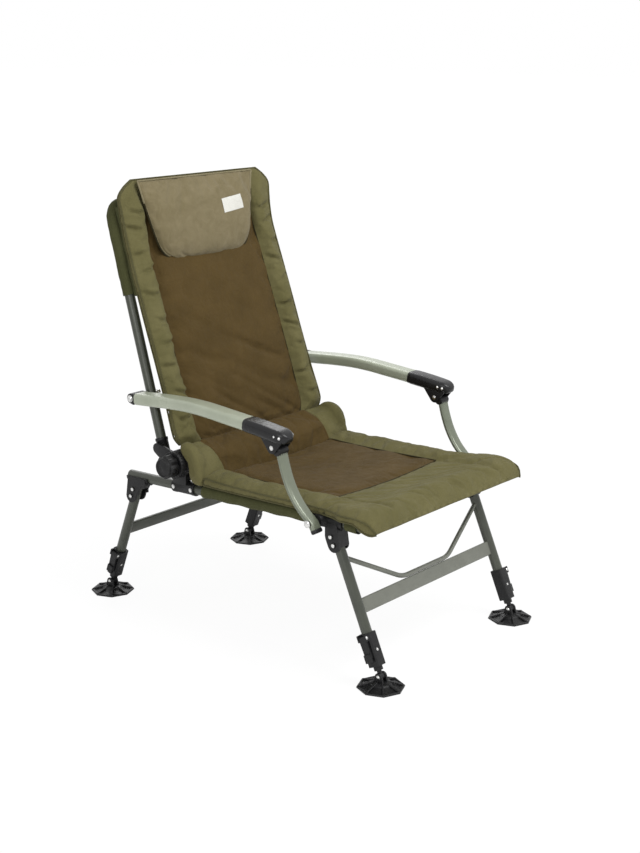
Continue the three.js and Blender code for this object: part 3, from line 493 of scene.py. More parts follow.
def suede_fabric(name, color, shade):
    """Brushed suede-like cloth: a short nap with brushed light and dark patches."""
    n, at = new_material(name)
    color, shade = srgb(*color), srgb(*shade)
    nap = n.noise(at, 30.0, 6.0, 0.6, 1.4)
    grain = n.noise(at, 1500.0, 2.0)
    mixed = n.tint(color, shade, nap, 0.32, 0.68)
    mixed = n.tint(mixed, scaled_color(color, 1.3), grain, 0.4, 0.7, 0.35)
    n.set(Base_Color=mixed, Roughness=n.span(nap, 0.3, 0.7, 0.82, 0.96))
    n.set(Normal=n.bump(n.noise(at, 60.0, 4.0), 0.0022, n.bump(grain, 0.00025)))
    n.set(Sheen_Weight=0.1, Sheen_Roughness=0.5, Specular_IOR_Level=0.15)
    return n.owner


def painted(name, color, shade, rough=(0.3, 0.44), metallic=0.15):
    """Powder coat on steel: fine orange peel, uneven gloss and a few rubbed specks."""
    n, at = new_material(name)
    color, shade = srgb(*color), srgb(*shade)
    cloud = n.noise(at, 18.0, 4.0)
    mixed = n.tint(color, shade, cloud, 0.35, 0.65)
    mixed = n.tint(mixed, scaled_color(color, 1.5), n.noise(at, 700.0, 2.0), 0.5, 0.8, 0.22)
    scuff = n.noise(n.scaled(at, (40.0, 40.0, 90.0)), 2.2, 6.0, 0.7, 1.5)
    worn = n.span(scuff, 0.70, 0.76, 0.0, 0.5)
    roughness = n.math("ADD", n.span(cloud, 0.3, 0.7, *rough), n.math("MULTIPLY", worn, 0.2))
    n.set(Base_Color=n.mix(worn, mixed, srgb(150, 150, 140)), Roughness=roughness)
    n.set(Normal=n.bump(n.noise(at, 420.0, 2.0), 0.00009), Specular_IOR_Level=0.5)
    n.set(Metallic=metallic, Coat_Weight=0.25, Coat_Roughness=0.25)
    return n.owner


def plastic(name, color, rough=(0.36, 0.55), grain=0.00006):
    """Moulded nylon: fine grain, uneven gloss and faint dust."""
    n, at = new_material(name)
    cloud = n.noise(at, 30.0, 5.0)
    mixed = n.tint(srgb(*color), srgb(36, 36, 35), cloud, 0.5, 0.85, 0.35)
    n.set(Base_Color=mixed, Roughness=n.span(cloud, 0.3, 0.7, *rough))
    n.set(Normal=n.bump(n.noise(at, 1100.0, 3.0), grain * 4), Specular_IOR_Level=0.3)
    return n.owner


def steel(name):
    """Zinc-plated steel: fine turning marks and small dull spots."""
    n, at = new_material(name)
    lines = n.noise(n.scaled(at, (400.0, 2500.0, 2500.0)), 1.0, 3.0)
    spots = n.noise(at, 260.0, 4.0)
    mixed = n.tint(srgb(214, 214, 212), srgb(150, 150, 148), spots, 0.5, 0.8, 0.5)
    n.set(Base_Color=mixed, Metallic=1.0, Roughness=n.span(spots, 0.35, 0.7, 0.16, 0.38))
    n.set(Normal=n.bump(lines, 0.00003))
    return n.owner


OLIVE = fabric("olive_cloth", (104, 99, 66), (90, 86, 54))
BROWN = fabric("brown_cloth", (83, 67, 37), (71, 57, 30), thread=0.0012)
SLING = fabric("sling_cloth", (72, 73, 46), (60, 61, 38), thread=0.0016, sheen=0.02)
PIPING = fabric("piping_cloth", (86, 83, 55), (72, 69, 44), thread=0.0009, crumple=0.0002)
BINDING = fabric("binding_cloth", (134, 126, 100), (118, 110, 84), thread=0.0009, crumple=0.0002)
SUEDE = suede_fabric("suede_cloth", (117, 107, 81), (103, 94, 68))
LABEL = fabric("label_cloth", (222, 221, 214), (210, 209, 202), thread=0.0007, crumple=0.0001)
# Dark seam lines: stitching, darkened as painted shade for the grooves at the seams and the shadow under the
# pillow.
STITCH_AND_SHADE = fabric("stitching_and_painted_shade", (50, 45, 26), (40, 36, 20), thread=0.0005, crumple=0.0001)
FRAME = painted("frame_coat", (60, 63, 53), (53, 56, 47))
BAR = painted("bar_coat", (106, 108, 99), (97, 99, 90), rough=(0.36, 0.5))
ARM = painted("arm_coat", (158, 164, 146), (148, 154, 136), rough=(0.26, 0.38), metallic=0.1)
# The arms' paint again, made darker as painted shade for the support tubes, which are the same paint as the
# arms.
SHADED_ARM_COAT = painted("support_coat", (110, 116, 100), (102, 108, 92), rough=(0.2, 0.32), metallic=0.3)
BLACK = plastic("black_nylon", (16, 16, 17))
GLOSS = plastic("glossy_nylon", (24, 24, 25), rough=(0.2, 0.32), grain=0.00002)
FOOT = plastic("foot_nylon", (18, 18, 19), rough=(0.3, 0.48), grain=0.00005)
STEEL = steel("zinc_steel")

# Frames of reference


class Leg:
    """A leg pair's plane: the ankle, the way up the leg and the way that its front faces."""

    def __init__(self, end):
        y = LEG_PIVOT_Y[end]
        pivot = np.array((0, y, rail_z(y) - PIVOT_DROP))
        self.ankle = np.array((0, LEG_SIGN[end] * FOOT_Y, ANKLE_Z))
        self.length = np.linalg.norm(pivot - self.ankle)
        self.up = (pivot - self.ankle) / self.length
        self.over = np.cross(X_AXIS, self.up) * -1

    def at(self, x, up):
        return self.ankle + self.up * up + np.array((x, 0, 0))


LEGS = {end: Leg(end) for end in ENDS}


def back_at(z):
    return BACK_LOW + (BACK_HIGH - BACK_LOW) * (z - BACK_LOW[2]) / (BACK_HIGH[2] - BACK_LOW[2])


def back_loop(z, count):
    """The back tube's centre line over the top, from height z on one side to height z on the other."""
    low, top = back_at(z), back_at(BACK_BAR_Z)
    return bent_line([low, top, top * MIRROR, low * MIRROR], BACK_BEND, count)


def rail_point(x, y, over=0.0):
    return np.array((x, y, rail_z(y) + over))


# A tube's end plug: share of the tube's radius, distance into the tube.
PLUG = [(0, -1.6), (0.55, -1.3), (0.86, -0.5), (0.95, 0.4), (1, 0.8)]


def tube_profile(length, start=0.0):
    """A tube's outside with a slightly domed plug in each end."""
    near = [(TUBE * share, start + into) for share, into in PLUG]
    far = [(TUBE * share, start + length - into) for share, into in PLUG[::-1]]
    return [*near, (TUBE, start + length / 2), *far]


# Steel frame

for s, sx in SIDES:
    start, end = (rail_point(sx * FRAME_X, y) for y in RAIL_Y)
    shape = Shape().lathe(tube_profile(np.linalg.norm(end - start)), start, end - start)
    shape.piece(f"side_rail_{s}", FRAME, "seat_frame", "frame_paint", f"rail_{s}")

for end, y in zip(ENDS, CROSS_Y):
    reach = FRAME_X - TUBE + 1
    line = spaced([rail_point(-reach, y), rail_point(reach, y)], 12)
    shape = Shape().tube(line, circle(CROSS_RADIUS, 24))
    shape.piece(f"seat_cross_tube_{end}", FRAME, "seat_frame", "frame_paint", f"cross_tube_{end}")

LEG_START = 26  # from the ankle up to the tube's lower end
LEG_OVER = 3  # from the pivot up to the tube's upper end
CROSS_BAR = rounded_box(8, 30, 2.5)

for end, leg in LEGS.items():
    for s, sx in SIDES:
        profile = tube_profile(leg.length + LEG_OVER - LEG_START, LEG_START)
        shape = Shape().lathe(profile, leg.at(sx * FRAME_X, 0), leg.up)
        shape.piece(f"{end}_leg_{s}", FRAME, f"{end}_legs", "frame_paint", f"{end}_leg_tube_{s}")
    reach = FRAME_X - TUBE + 1.5
    line = spaced([leg.at(x, CROSS_BAR_UP[end]) for x in (-reach, reach)], 14)
    shape = Shape().rings([section_at(p, CROSS_BAR, leg.over, leg.up) for p in line])
    coat = BAR if end == "front" else FRAME
    shape.piece(f"{end}_cross_bar", coat, f"{end}_legs", "frame_paint", f"{end}_crossbar")

stay = Shape().tube(bent_line([LEGS["front"].at(*c) for c in STAY_CORNERS], 18, 90), circle(5, 16))
stay.piece("front_wire_stay", BAR, "front_legs", "frame_paint", "front_stay")
back_tube = Shape().tube(back_loop(BACK_FOOT_Z, 160), circle(TUBE, 28))
back_tube.piece("back_frame_tube", FRAME, "backrest", "frame_paint", "back_tube")

# Arm rests


def side_line(points, x, count):
    return np.column_stack([np.full(count, x), smooth_line(points, count)])


def hull_outline(parts, sides=28):
    """The convex outline round circles (y, z, radius) and points (y, z)."""
    a = np.arange(sides) / sides * 2 * math.pi
    pts = []
    for y, z, *radius in parts:
        if radius:
            pts += [(y + radius[0] * math.cos(t), z + radius[0] * math.sin(t)) for t in a]
        else:
            pts.append((y, z))
    pts = sorted(set((round(y, 4), round(z, 4)) for y, z in pts))

    def half(points):
        out = []
        for p in points:
            while len(out) > 1:
                (ax, ay), (bx, by) = out[-2], out[-1]
                if (bx - ax) * (p[1] - ay) - (by - ay) * (p[0] - ax) > 0:
                    break
                out.pop()
            out.append(p)
        return out[:-1]

    return np.array(half(pts) + half(pts[::-1]))


def grip_size(t):
    """The grip's size at t along it: a rounded front end, and fine ridges under the hand."""
    front = np.sqrt(np.clip(1 - ((t - 0.78) / 0.235) ** 2, 0.02, 1))
    grow = np.where(t < 0.03, 0.965, np.where(t > 0.78, front, 1))
    return grow * (1 + 0.012 * (np.cos((t - 0.12) * 2 * math.pi * 14) > 0.2) * (t > 0.14) * (t < 0.62))


ARM_SECTION = rounded_box(40, 25, 8.5, 8)
GRIP_SECTION = rounded_box(43, 27.5, 10, 9)
REAR_END_SECTION = rounded_box(39, 24, 8, 8)
SUPPORT_SECTION = flat_oval(27, 12)
CAP_SECTION = flat_oval(27.8, 13)
CHEEK_XS = ((-17.9, -14.4), (14.4, 17.9))
REAR_END_HALF = 19.5
HEAD_HALF = 13.9
RIB_STEP = 5.2
BOLT_X, SPACER_X, NUT_X = 207, 243.5, 212
SUPPORT_RIVET_X = 288.6
CHEEK = [(*ARM_FRONT, 12), (-182, 474), (-178, 480), (-124, 482), (-126, 476)]
REAR_END = [(*ARM_BOLT, 11), (240, 482.6, 3.5), (240, 499.4, 3.5)]
SUPPORT_HEAD = [(*ARM_FRONT, 10.4), (-164.5, 452, 9.4)]
SUPPORT_RIB = [(-173.2, 446), (-168.0, 457), (-162, 465.5)]
SUPPORT_FOOT = [(-260.6, 302.4), (-259.2, 304.5), (-257.9, 306.5), (-256.4, 308.7)]
FOOT_SIZES = [0.8, 0.92, 0.97, *[1] * 8, 0.985]
GRIP_PINS = [  # from the pin's middle to its head, place in y and z, head radius
    (17.7, ARM_FRONT, 4.8), (20.9, (-165, 484.5), 3.4), (20.3, (-177, 483), 3.4),
]

arm = Shape().tube(side_line(ARM_LINE, ARM_X, 60), ARM_SECTION, X_AXIS)
grip_line = side_line(GRIP_LINE, ARM_X, 36)
grip = Shape().tube(grip_line, GRIP_SECTION, X_AXIS, grip_size(np.linspace(0, 1, 36)))
cheeks = Shape()
for low, high in CHEEK_XS:
    cheeks.plate(hull_outline(CHEEK), (SUPPORT_X + low, SUPPORT_X + high), 0.9)
rear_end = Shape().plate(hull_outline(REAR_END), (ARM_X - REAR_END_HALF, ARM_X + REAR_END_HALF), 2.2)
rear_end.tube([(ARM_X, 236.4, 491), (ARM_X, 239.5, 490.8)], REAR_END_SECTION, X_AXIS)
bolt = Shape().lathe([(4, 0), (4, 60)], (BOLT_X, *ARM_BOLT), X_AXIS, 16)
bolt.lathe([(7.5, 0), (7.5, 8)], (SPACER_X, *ARM_BOLT), X_AXIS, 24)
bolt.rivet((ARM_X + 19.9, *ARM_BOLT), X_AXIS, 7.8, 4.6, 28)
bolt.lathe([(6.2, 0), (6.2, 5), (4.6, 6), (0, 6)], (NUT_X, *ARM_BOLT), (-1, 0, 0), 6)
pins = Shape()
for out, at, radius in GRIP_PINS:
    for side in (1, -1):
        pins.rivet((SUPPORT_X + side * out, *at), (side, 0, 0), radius, 2.2)
pins.lathe([(4, 0), (4, 35)], (SUPPORT_X - 17.5, *ARM_FRONT), X_AXIS, 16)
support = Shape().tube(side_line(SUPPORT_LINE, SUPPORT_X, 50), SUPPORT_SECTION, X_AXIS)
collar = Shape().plate(hull_outline(SUPPORT_HEAD), (SUPPORT_X - HEAD_HALF, SUPPORT_X + HEAD_HALF), 1.4)
for k in range(-2, 3):
    collar.tube(side_line(SUPPORT_RIB, SUPPORT_X + RIB_STEP * k, 10), circle(1.15, 8))
foot_line = side_line(SUPPORT_FOOT, SUPPORT_X, len(FOOT_SIZES))
cap = Shape().tube(foot_line, CAP_SECTION, X_AXIS, FOOT_SIZES)
support_pin = Shape().rivet((SUPPORT_RIVET_X, *SUPPORT_PIVOT), X_AXIS, 7.6, 3.0, 28)

pair(arm, "arm_rest_tube", ARM, "arm_{}", "arm_paint", "arm_tube")
pair(grip, "arm_rest_grip", GLOSS, "arm_{}", "black_plastic", "arm_grip")
pair(cheeks, "arm_grip_cheeks", BLACK, "arm_{}", "black_plastic")
pair(rear_end, "arm_rear_end", BLACK, "arm_{}", "black_plastic", "arm_rear_fitting")
pair(pins, "arm_front_rivets", STEEL, "arm_{}", "bright_steel")
# The support tubes carry the darker copy of the arm paint: painted shade.
pair(support, "arm_support_tube", SHADED_ARM_COAT, "support_{}", "arm_paint", "support_tube")
pair(collar, "arm_support_head", BLACK, "support_{}", "black_plastic", "support_head")
pair(cap, "arm_support_cap", BLACK, "support_{}", "black_plastic", "support_foot")
pair(bolt, "arm_pivot_bolt", STEEL, "backrest", "bright_steel", "arm_bolt")
pair(support_pin, "support_pivot_rivet", STEEL, "seat_frame", "bright_steel")

# Recline hinges

# Profiles turned round the hinge: radius, distance from the middle of the chair.
KNOB = [
    (0, 262.6), (22, 262.6), (24.6, 263.4), (25.6, 265), (25.7, 281), (25.2, 283.4), (24, 285), (21.6, 286),
]
KNOB_CAP = [
    (21.4, 285.6), (21.2, 288.8), (20.2, 290.4), (18.8, 291), (17.8, 290.6), (17.2, 289.4), (16.6, 288.8),
    (6, 288.6), (5, 289.4), (0, 289.6),
]
HINGE_NUT = [(6.5, 222.4), (6.5, 226.4), (3.8, 226.6), (3.8, 263)]
OUTER_DRUM = [
    (20, 244.1), (29, 244.1), (30, 245), (30, 252), (28.6, 252.6), (28.6, 254), (30, 254.6), (30, 260.4),
    (29, 261.8), (20, 262),
]
INNER_DRUM = [
    (20, 227), (29.2, 227), (30, 228), (30, 233), (28.8, 233.6), (28.8, 236), (30, 236.6), (30, 242.8),
    (29, 243.7), (20, 243.7),
]
LINK_CORNER = (211.5, 379, 12.3)
NECK = [(133, 306), (173, 304), (173, 340), (168, 348), (138, 348), (133, 340)]
CLAMP_Y = (111, 177)
SOCKET_Z = (367, 399)
HINGE = (0, *RECLINE)
CLAMP_RIVET_Y = (118, 170)
SOCKET_RIVET_SHARES = (0.25, 0.8)


def lobes(count, low, power):
    """The share of the radius at an angle, between low and 1, for a rim with that many lobes."""
    return lambda a: low + (1.0 - low) * (0.5 + 0.5 * np.cos(count * a)) ** power


knob = Shape().lathe(KNOB, HINGE, X_AXIS, 96, lobes(8, 0.86, 0.8))
knob.lathe(KNOB_CAP, HINGE, X_AXIS, 56)
knob.lathe(HINGE_NUT, HINGE, X_AXIS, 6)
upper = Shape().lathe(OUTER_DRUM, HINGE, X_AXIS, 96, lobes(24, 0.965, 0.6))
upper.plate(hull_outline([(*RECLINE, 23), LINK_CORNER]), (244.4, 252), 1.5)
upper.plate(hull_outline([LINK_CORNER, (200, 374, 10)]), (FRAME_X + 6, 250.6), 1.5)
socket_low, socket_high = (back_at(z) for z in SOCKET_Z)
way = unit(socket_high - socket_low)
reach = np.linalg.norm(socket_high - socket_low)
upper.lathe(
    [(11.4, 0), (13.2, 0), (14, 0.9), (14, 4), (13.2, 5), (13.2, reach - 7), (14, reach - 6),
     (14, reach - 1.2), (13.2, reach - 0.2), (11.6, reach)],
    socket_low, way, 36)
for up_tube in SOCKET_RIVET_SHARES:
    upper.rivet(socket_low + way * reach * up_tube + (0, 13.2, -4), (0, 0.96, -0.28), 4.2, 4.0)
lower = Shape().lathe(INNER_DRUM, HINGE, X_AXIS, 96, lobes(24, 0.965, 0.6))
lower.plate(NECK, (227.2, 243.5), 1.6)
clamp_start, clamp_end = (rail_point(FRAME_X, y) for y in CLAMP_Y)
reach = np.linalg.norm(clamp_end - clamp_start)
lower.lathe(
    [(11.4, 0), (14.2, 0), (15, 0.9), (15, 9), (14.3, 10), (14.3, reach - 10), (15, reach - 9),
     (15, reach - 0.9), (14.2, reach), (11.4, reach)],
    clamp_start, clamp_end - clamp_start, 36)
rivets = Shape()
for y in CLAMP_RIVET_Y:
    rivets.rivet(rail_point(FRAME_X + 14.4, y), X_AXIS, 4.6, 2.2)

pair(knob, "recline_hand_knob", BLACK, "knob_{}", "black_plastic", "recline_knob")
pair(upper, "recline_hinge_arm", BLACK, "backrest", "black_plastic", "hinge_arm")
pair(lower, "recline_hinge_base", BLACK, "seat_frame", "black_plastic", "hinge_base")
pair(rivets, "recline_hinge_rivets", STEEL, "seat_frame", "bright_steel")

# Leg brackets, locks, levers and stems: the CAD's own points with softened edges


def dress(name, bevel=0.7):
    """Black nylon and soft edges for a CAD node."""
    obj = nodes[name]
    mesh = obj.data
    custom = mesh.attributes.get("custom_normal")
    if custom:
        mesh.attributes.remove(custom)
    mesh.materials.clear()
    mesh.materials.append(BLACK)
    mesh.polygons.foreach_set("use_smooth", np.ones(len(mesh.polygons), bool))
    weld = obj.modifiers.new("weld", "WELD")
    weld.merge_threshold = 0.00002
    add_bevel(obj, bevel)


for end in ENDS:
    for s in ("l", "r"):
        for part in ("leg_bracket", "leg_lock", "lock_lever"):
            dress(f"{end}_{part}_{s}")
        dress(f"{end}_leg_stem_{s}", 0.4)

BRACKET_HALF = 16.6
BRACKET_RIVETS_DOWN = (0, 18)  # from the leg's pivot down the leg
BRACKET_TOP_Y = (-300, -250)
LEVER_PIN_X, LEVER_PIN_UP, LEVER_PIN_OUT = 17.2, 83, 11.4
LOCK_PIN_UP, LOCK_PIN_OUT = 54, 13.4

rivets = Shape()
for leg in LEGS.values():
    for down in BRACKET_RIVETS_DOWN:
        for side in (1, -1):
            at = leg.at(FRAME_X, leg.length - down) + (side * BRACKET_HALF, 0, 0)
            rivets.rivet(at, (side, 0, 0), 5.3, 2.6)
for y in BRACKET_TOP_Y:
    rivets.rivet(rail_point(FRAME_X + 4, y, 14.2), (0.25, 0, 1), 4.6, 2.2)
pair(rivets, "leg_bracket_rivets", STEEL, "seat_frame", "bright_steel")
for end, leg in LEGS.items():
    pins = Shape()
    for front in (leg.over, -leg.over):
        lever_pin = leg.at(FRAME_X + LEVER_PIN_X, LEVER_PIN_UP) + front * LEVER_PIN_OUT
        lock_pin = leg.at(FRAME_X, LOCK_PIN_UP) + front * LOCK_PIN_OUT
        pins.rivet(lever_pin, front, 3.2, 1.4, 16)
        pins.rivet(lock_pin, front, 2.6, 1.0, 16)
    pair(pins, f"{end}_lock_pins", STEEL, f"{end}_legs", "bright_steel")

# Mud feet

FOOT_PLATE = [
    (0, 0), (46.5, 0), (48.6, 0.8), (49, 2.2), (48.2, 4.2), (46.2, 5.0), (43.6, 4.8), (41.8, 3.4), (26, 7.6),
    (23.5, 10.6), (20, 11.8), (12, 14.2), (0, 14.4),
]
FOOT_SIDES = 8
RIDGE = [(14, 13.0), (24, 10.6), (38, 6.8), (46.4, 4.2)]  # distance from the middle, height
RIDGE_SECTION = [(-2.3, -1.8), (2.3, -1.8), (1.7, 0.9), (0.9, 1.5), (-0.9, 1.5), (-1.7, 0.9)]


def mud_foot(end):
    """An eight-sided foot with ridges, two ears and webs, and the pin through the ears."""
    foot_y = LEG_SIGN[end] * FOOT_Y
    centre = np.array((FRAME_X, foot_y, 0.0))
    foot = Shape().lathe(FOOT_PLATE, centre, Z_AXIS, FOOT_SIDES)
    for k in range(FOOT_SIDES):
        a = k * math.pi / 4 - math.pi / 2
        way = np.array((math.cos(a), math.sin(a), 0))
        line = [centre + way * r + (0, 0, z) for r, z in RIDGE]
        foot.rings([section_at(p, RIDGE_SECTION, np.cross(Z_AXIS, way), Z_AXIS) for p in line])
    ear = hull_outline([(foot_y, ANKLE_Z, 8.6), (foot_y - 11, 9, 2), (foot_y + 11, 9, 2)])
    web = hull_outline([(foot_y, 13, 3), (foot_y - 4, 8, 2), (foot_y + 4, 8, 2)])
    pin = Shape()
    for side in (1, -1):
        foot.plate(ear, sorted((FRAME_X + side * 5.0, FRAME_X + side * 9.4)), 1.0)
        foot.plate(web, sorted((FRAME_X + side * 8.0, FRAME_X + side * 17)), 1.2)
        pin.rivet(centre + (side * 9.3, 0, ANKLE_Z), (side, 0, 0), 4.2, 2.0)
    pin.lathe([(2.9, -8), (2.9, 8)], centre + (0, 0, ANKLE_Z), X_AXIS, 16)
    pad = f"{end}_pad_{{}}"
    pair(foot, f"{end}_mud_foot", FOOT, pad, "black_plastic", f"{end}_foot_pad", bevel=0.5, sharp=30)
    pair(pin, f"{end}_mud_foot_pin", STEEL, pad, "bright_steel")


for end in ENDS:
    mud_foot(end)

# Padded cloth

CREASE_SEED = 7.31
CLOTH = {  # settings of the simulated cloth
    "quality": 5, "mass": 0.25, "tension_stiffness": 12.0, "compression_stiffness": 12.0,
    "shear_stiffness": 4.0, "bending_stiffness": 0.4, "vertex_group_mass": "held", "use_pressure": True,
}
CLOTH_FRAMES = 18


def ripple(points, size, seed=0.0):
    """Smooth noise between -1 and 1 at each point, with features about that many millimetres wide."""
    places = (np.asarray(points, float) / size).tolist()
    return np.array([noise.noise(Vector((x, y, z + seed + CREASE_SEED))) for x, y, z in places])


def valley(distance, width):
    return np.exp(-(distance / width) ** 2)


def ramp(value, low, high):
    """From 0 at low to 1 at high, and no further."""
    return np.clip((value - low) / (high - low), 0, 1)


def evenly(stations, step, keys=(0, 1)):
    """Stations read again at even steps of the distance in their key columns."""
    t = np.linspace(0, 1, 800)
    along = lengths(curve_at(stations, t)[:, list(keys)])
    count = int(round(along[-1] / step)) + 1
    return curve_at(stations, np.interp(np.linspace(0, along[-1], count), along, t))


def inflate(obj, hold, pressure, grow, cap):
    """Blows a cushion up as cloth, held where hold is 1. No point moves further than cap."""
    scene = bpy.context.scene
    group = obj.vertex_groups.new(name="held")
    group.add([int(i) for i in np.flatnonzero(hold)], 1.0, "REPLACE")
    mod = obj.modifiers.new("puff", "CLOTH")
    for key, value in CLOTH.items():
        setattr(mod.settings, key, value)
    mod.settings.uniform_pressure_force = pressure
    mod.settings.effector_weights.gravity = 0
    mod.settings.shrink_min = -grow
    mod.collision_settings.use_self_collision = False
    mod.collision_settings.use_collision = False
    scene.frame_start, scene.frame_end = 1, CLOTH_FRAMES
    for f in range(1, CLOTH_FRAMES + 1):
        scene.frame_set(f)
    new, old = read_vectors(evaluated_mesh(obj), "co"), read_vectors(obj.data, "co")
    obj.modifiers.remove(mod)
    obj.vertex_groups.remove(group)
    scene.frame_set(1)
    moved = new - old
    far = np.linalg.norm(moved, axis=1, keepdims=True)
    limit = cap * MM
    moved *= np.tanh(far / limit) * limit / np.maximum(far, 1e-9)
    obj.data.vertices.foreach_set("co", (old + moved).ravel())
    obj.data.update()


def parted(obj, names, change):
    """One piece for each material of a mesh, subdivided and changed along its normals."""
    mod = obj.modifiers.new("smooth", "SUBSURF")
    mod.levels = mod.render_levels = 1
    mod.uv_smooth = "PRESERVE_BOUNDARIES"
    mesh = evaluated_mesh(obj)
    co, normals = read_vectors(mesh, "co"), read_vectors(mesh, "normal")
    co += normals * np.asarray(change(co / MM))[:, None] * MM
    uv_layer = mesh.uv_layers.active.data
    made = []
    for mark, name in enumerate(names):
        faces, uvs = [], []
        for p in mesh.polygons:
            if p.material_index == mark:
                faces.append(tuple(p.vertices))
                uvs.append([tuple(uv_layer[k].uv) for k in p.loop_indices])
        used = sorted({k for f in faces for k in f})
        where = {k: i for i, k in enumerate(used)}
        faces = [[where[k] for k in f] for f in faces]
        made.append(mesh_object(name, co[used], faces, [obj.data.materials[mark]], None, uvs))
    bpy.data.objects.remove(obj)
    return made


def covered(obj, name, creases, body, node):
    """A cushion's olive cover and brown panel, creased and placed."""
    pieces = parted(obj, [f"{name}_cover", f"{name}_panel"], creases)
    for piece, slot, fill in zip(pieces, ("olive_fabric", "brown_fabric"), (0.7, 0.6)):
        place(piece, body, node)


def piping(name, lines, radius, material, body, slot):
    shape = Shape()
    for line in lines:
        shape.tube(line, circle(radius, 8))
    return shape.piece(name, material, body, slot)


class Padding:
    """A closed cushion as rings of a front face, two edges and a rear face."""

    def __init__(self, front, rear, edge_steps=2):
        front, rear = np.asarray(front, float), np.asarray(rear, float)
        self.rows, self.cols = front.shape[:2]
        steps = np.arange(1, edge_steps + 1) / (edge_steps + 1)
        left = np.stack([rear[:, 0] * (1 - t) + front[:, 0] * t for t in steps], axis=1)
        right = np.stack([front[:, -1] * (1 - t) + rear[:, -1] * t for t in steps], axis=1)
        self.edge = edge_steps
        self.rings = np.concatenate([front, right, rear[:, ::-1], left], axis=1)
        self.loop = self.rings.shape[1]
        self.rear = slice(self.cols + edge_steps, 2 * self.cols + edge_steps)

    def mesh(self, name, materials, mark_of=lambda i, j: 0):
        """The cushion as one mesh with UVs. mark_of(row, column) says which material a face has."""
        rings, cols, loop, edge = self.rings, self.cols, self.loop, self.edge
        middle = cols // 2
        u = np.concatenate([np.zeros((self.rows, 1)), np.cumsum(steps_round(rings), axis=1)], axis=1)
        u = (u - u[:, [middle]]) * MM
        v = lengths(rings[:, middle]) * MM
        faces, uvs = grid_faces(u, v, loop)
        marks = [mark_of(i, j) for i in range(self.rows - 1) for j in range(loop)]
        for i in (0, self.rows - 1):
            row = i * loop
            for k in range(cols - 1):
                under = row + 2 * cols + edge - 2 - k
                faces.append((row + k, row + k + 1, under, under + 1))
                uvs.append([(rings[i, k, 0] * MM, v[i])] * 4)
            right = [row + cols - 1 + t for t in range(edge + 2)]
            left = [row + loop - edge - 1 + t for t in range(edge + 1)] + [row]
            for chain in (right, left):
                faces.append(chain)
                uvs.append([(0.0, v[i])] * len(chain))
            marks += [mark_of(i, 0)] * (cols + 1)
        return mesh_object(name, rings.reshape(-1, 3) * MM, faces, materials, marks, uvs)

    def hold(self):
        """A table with 1 for the points that the pressure leaves in place: edges, rear face and both ends."""
        hold = np.zeros((self.rows, self.loop))
        hold[:, [0, self.cols - 1]] = 1
        hold[:, self.rear] = 1
        hold[[0, -1]] = 1
        return hold

    def edges(self):
        """The lines along the front face's and the rear face's two sides."""
        rear_columns = (self.rear.start, self.rear.stop - 1)
        return [self.rings[:, k] for k in (0, self.cols - 1, *rear_columns)]


def across_steps(seam, edge, inner, outer):
    """Places across a cushion, from -edge to edge, with a column on each seam."""
    half = np.concatenate([np.linspace(0, seam, inner + 1), np.linspace(seam, edge, outer + 1)[1:]])
    return np.concatenate([-half[:0:-1], half])


# Back cushion

BACK_STATIONS = [  # y, z, half-width, seam, swell, thickness share
    (163.0, 384.8, 222, 160, 0.30, 0.55), (168, 398.5, 232, 168, 0.75, 1), (174, 415, 237, 173, 1, 1),
    (198.9, 484, 233.5, 175, 1, 1), (228.6, 566, 232, 175, 1, 1), (252.9, 633, 232, 174, 1, 1),
    (280, 708, 231, 173, 1, 1), (299.2, 761, 230, 172, 1, 1), (316.2, 812, 229, 169, 0.95, 1),
    (324, 850, 230, 166, 0.8, 1), (327.5, 880, 232, 163, 0.6, 1), (330.2, 906, 233, 160, 0.35, 0.9),
    (331.8, 925, 217, 154, 0.2, 0.8), (332.5, 939, 196, 146, 0.1, 0.5),
]
BACK_TOP_Z = 939
BACK_SWELL = 24.0
BACK_DEPTH = 9.0
BACK_INNER, BACK_OUTER = 30, 11  # columns from the middle to a seam, and on to the edge

back_rows = evenly(BACK_STATIONS, 6.0)
back_path = back_rows[:, :2]
tangent = unit(np.gradient(back_path, axis=0))
zeros = np.zeros(len(back_path))
back_forward = np.column_stack([zeros, -tangent[:, 1], tangent[:, 0]])
back_centre = np.column_stack([zeros, back_path])
front, rear = [], []
for i, (y, z, half, seam, swell, thick) in enumerate(back_rows):
    xs = across_steps(seam, half, BACK_INNER, BACK_OUTER)
    away = np.abs(xs)
    t = ramp(away, seam, half)
    middle = 4.5 * (1 - np.minimum(away / seam, 1) ** 3) * thick
    crest = np.sin(math.pi * t**0.68) + 0.3 * t**2
    depth = np.where(away < seam, middle, BACK_SWELL * swell * crest * 0.86)
    hind = np.where(away < seam, -BACK_DEPTH, -BACK_DEPTH + (BACK_DEPTH - 2.5) * t**1.5) * thick
    base = back_centre[i] + np.outer(xs, X_AXIS)
    front.append(base + np.outer(depth, back_forward[i]))
    rear.append(base + np.outer(hind, back_forward[i]))
back = Padding(front, rear)
left_seam, right_seam = BACK_OUTER, back.cols - 1 - BACK_OUTER
back_work = back.mesh("back_work", [OLIVE, BROWN], lambda i, j: 1 if left_seam <= j < right_seam else 0)
hold = back.hold()
hold[:, [left_seam, right_seam]] = 1
hold[1] = 1
inflate(back_work, hold, pressure=2.6, grow=0.05, cap=9.0)

BOLSTER_CREASES = (448, 500, 556, 600, 652, 706, 752, 792, 838, 872)  # heights
PANEL_FOLDS = (  # height in the middle, slope, depth, width
    (455, 0.55, 7.0, 11), (520, 0.42, 5.0, 12), (585, 0.5, 6.0, 11), (655, 0.3, 2.5, 15), (420, 0.7, 6.0, 9),
    (488, 0.6, 4.0, 9),
)


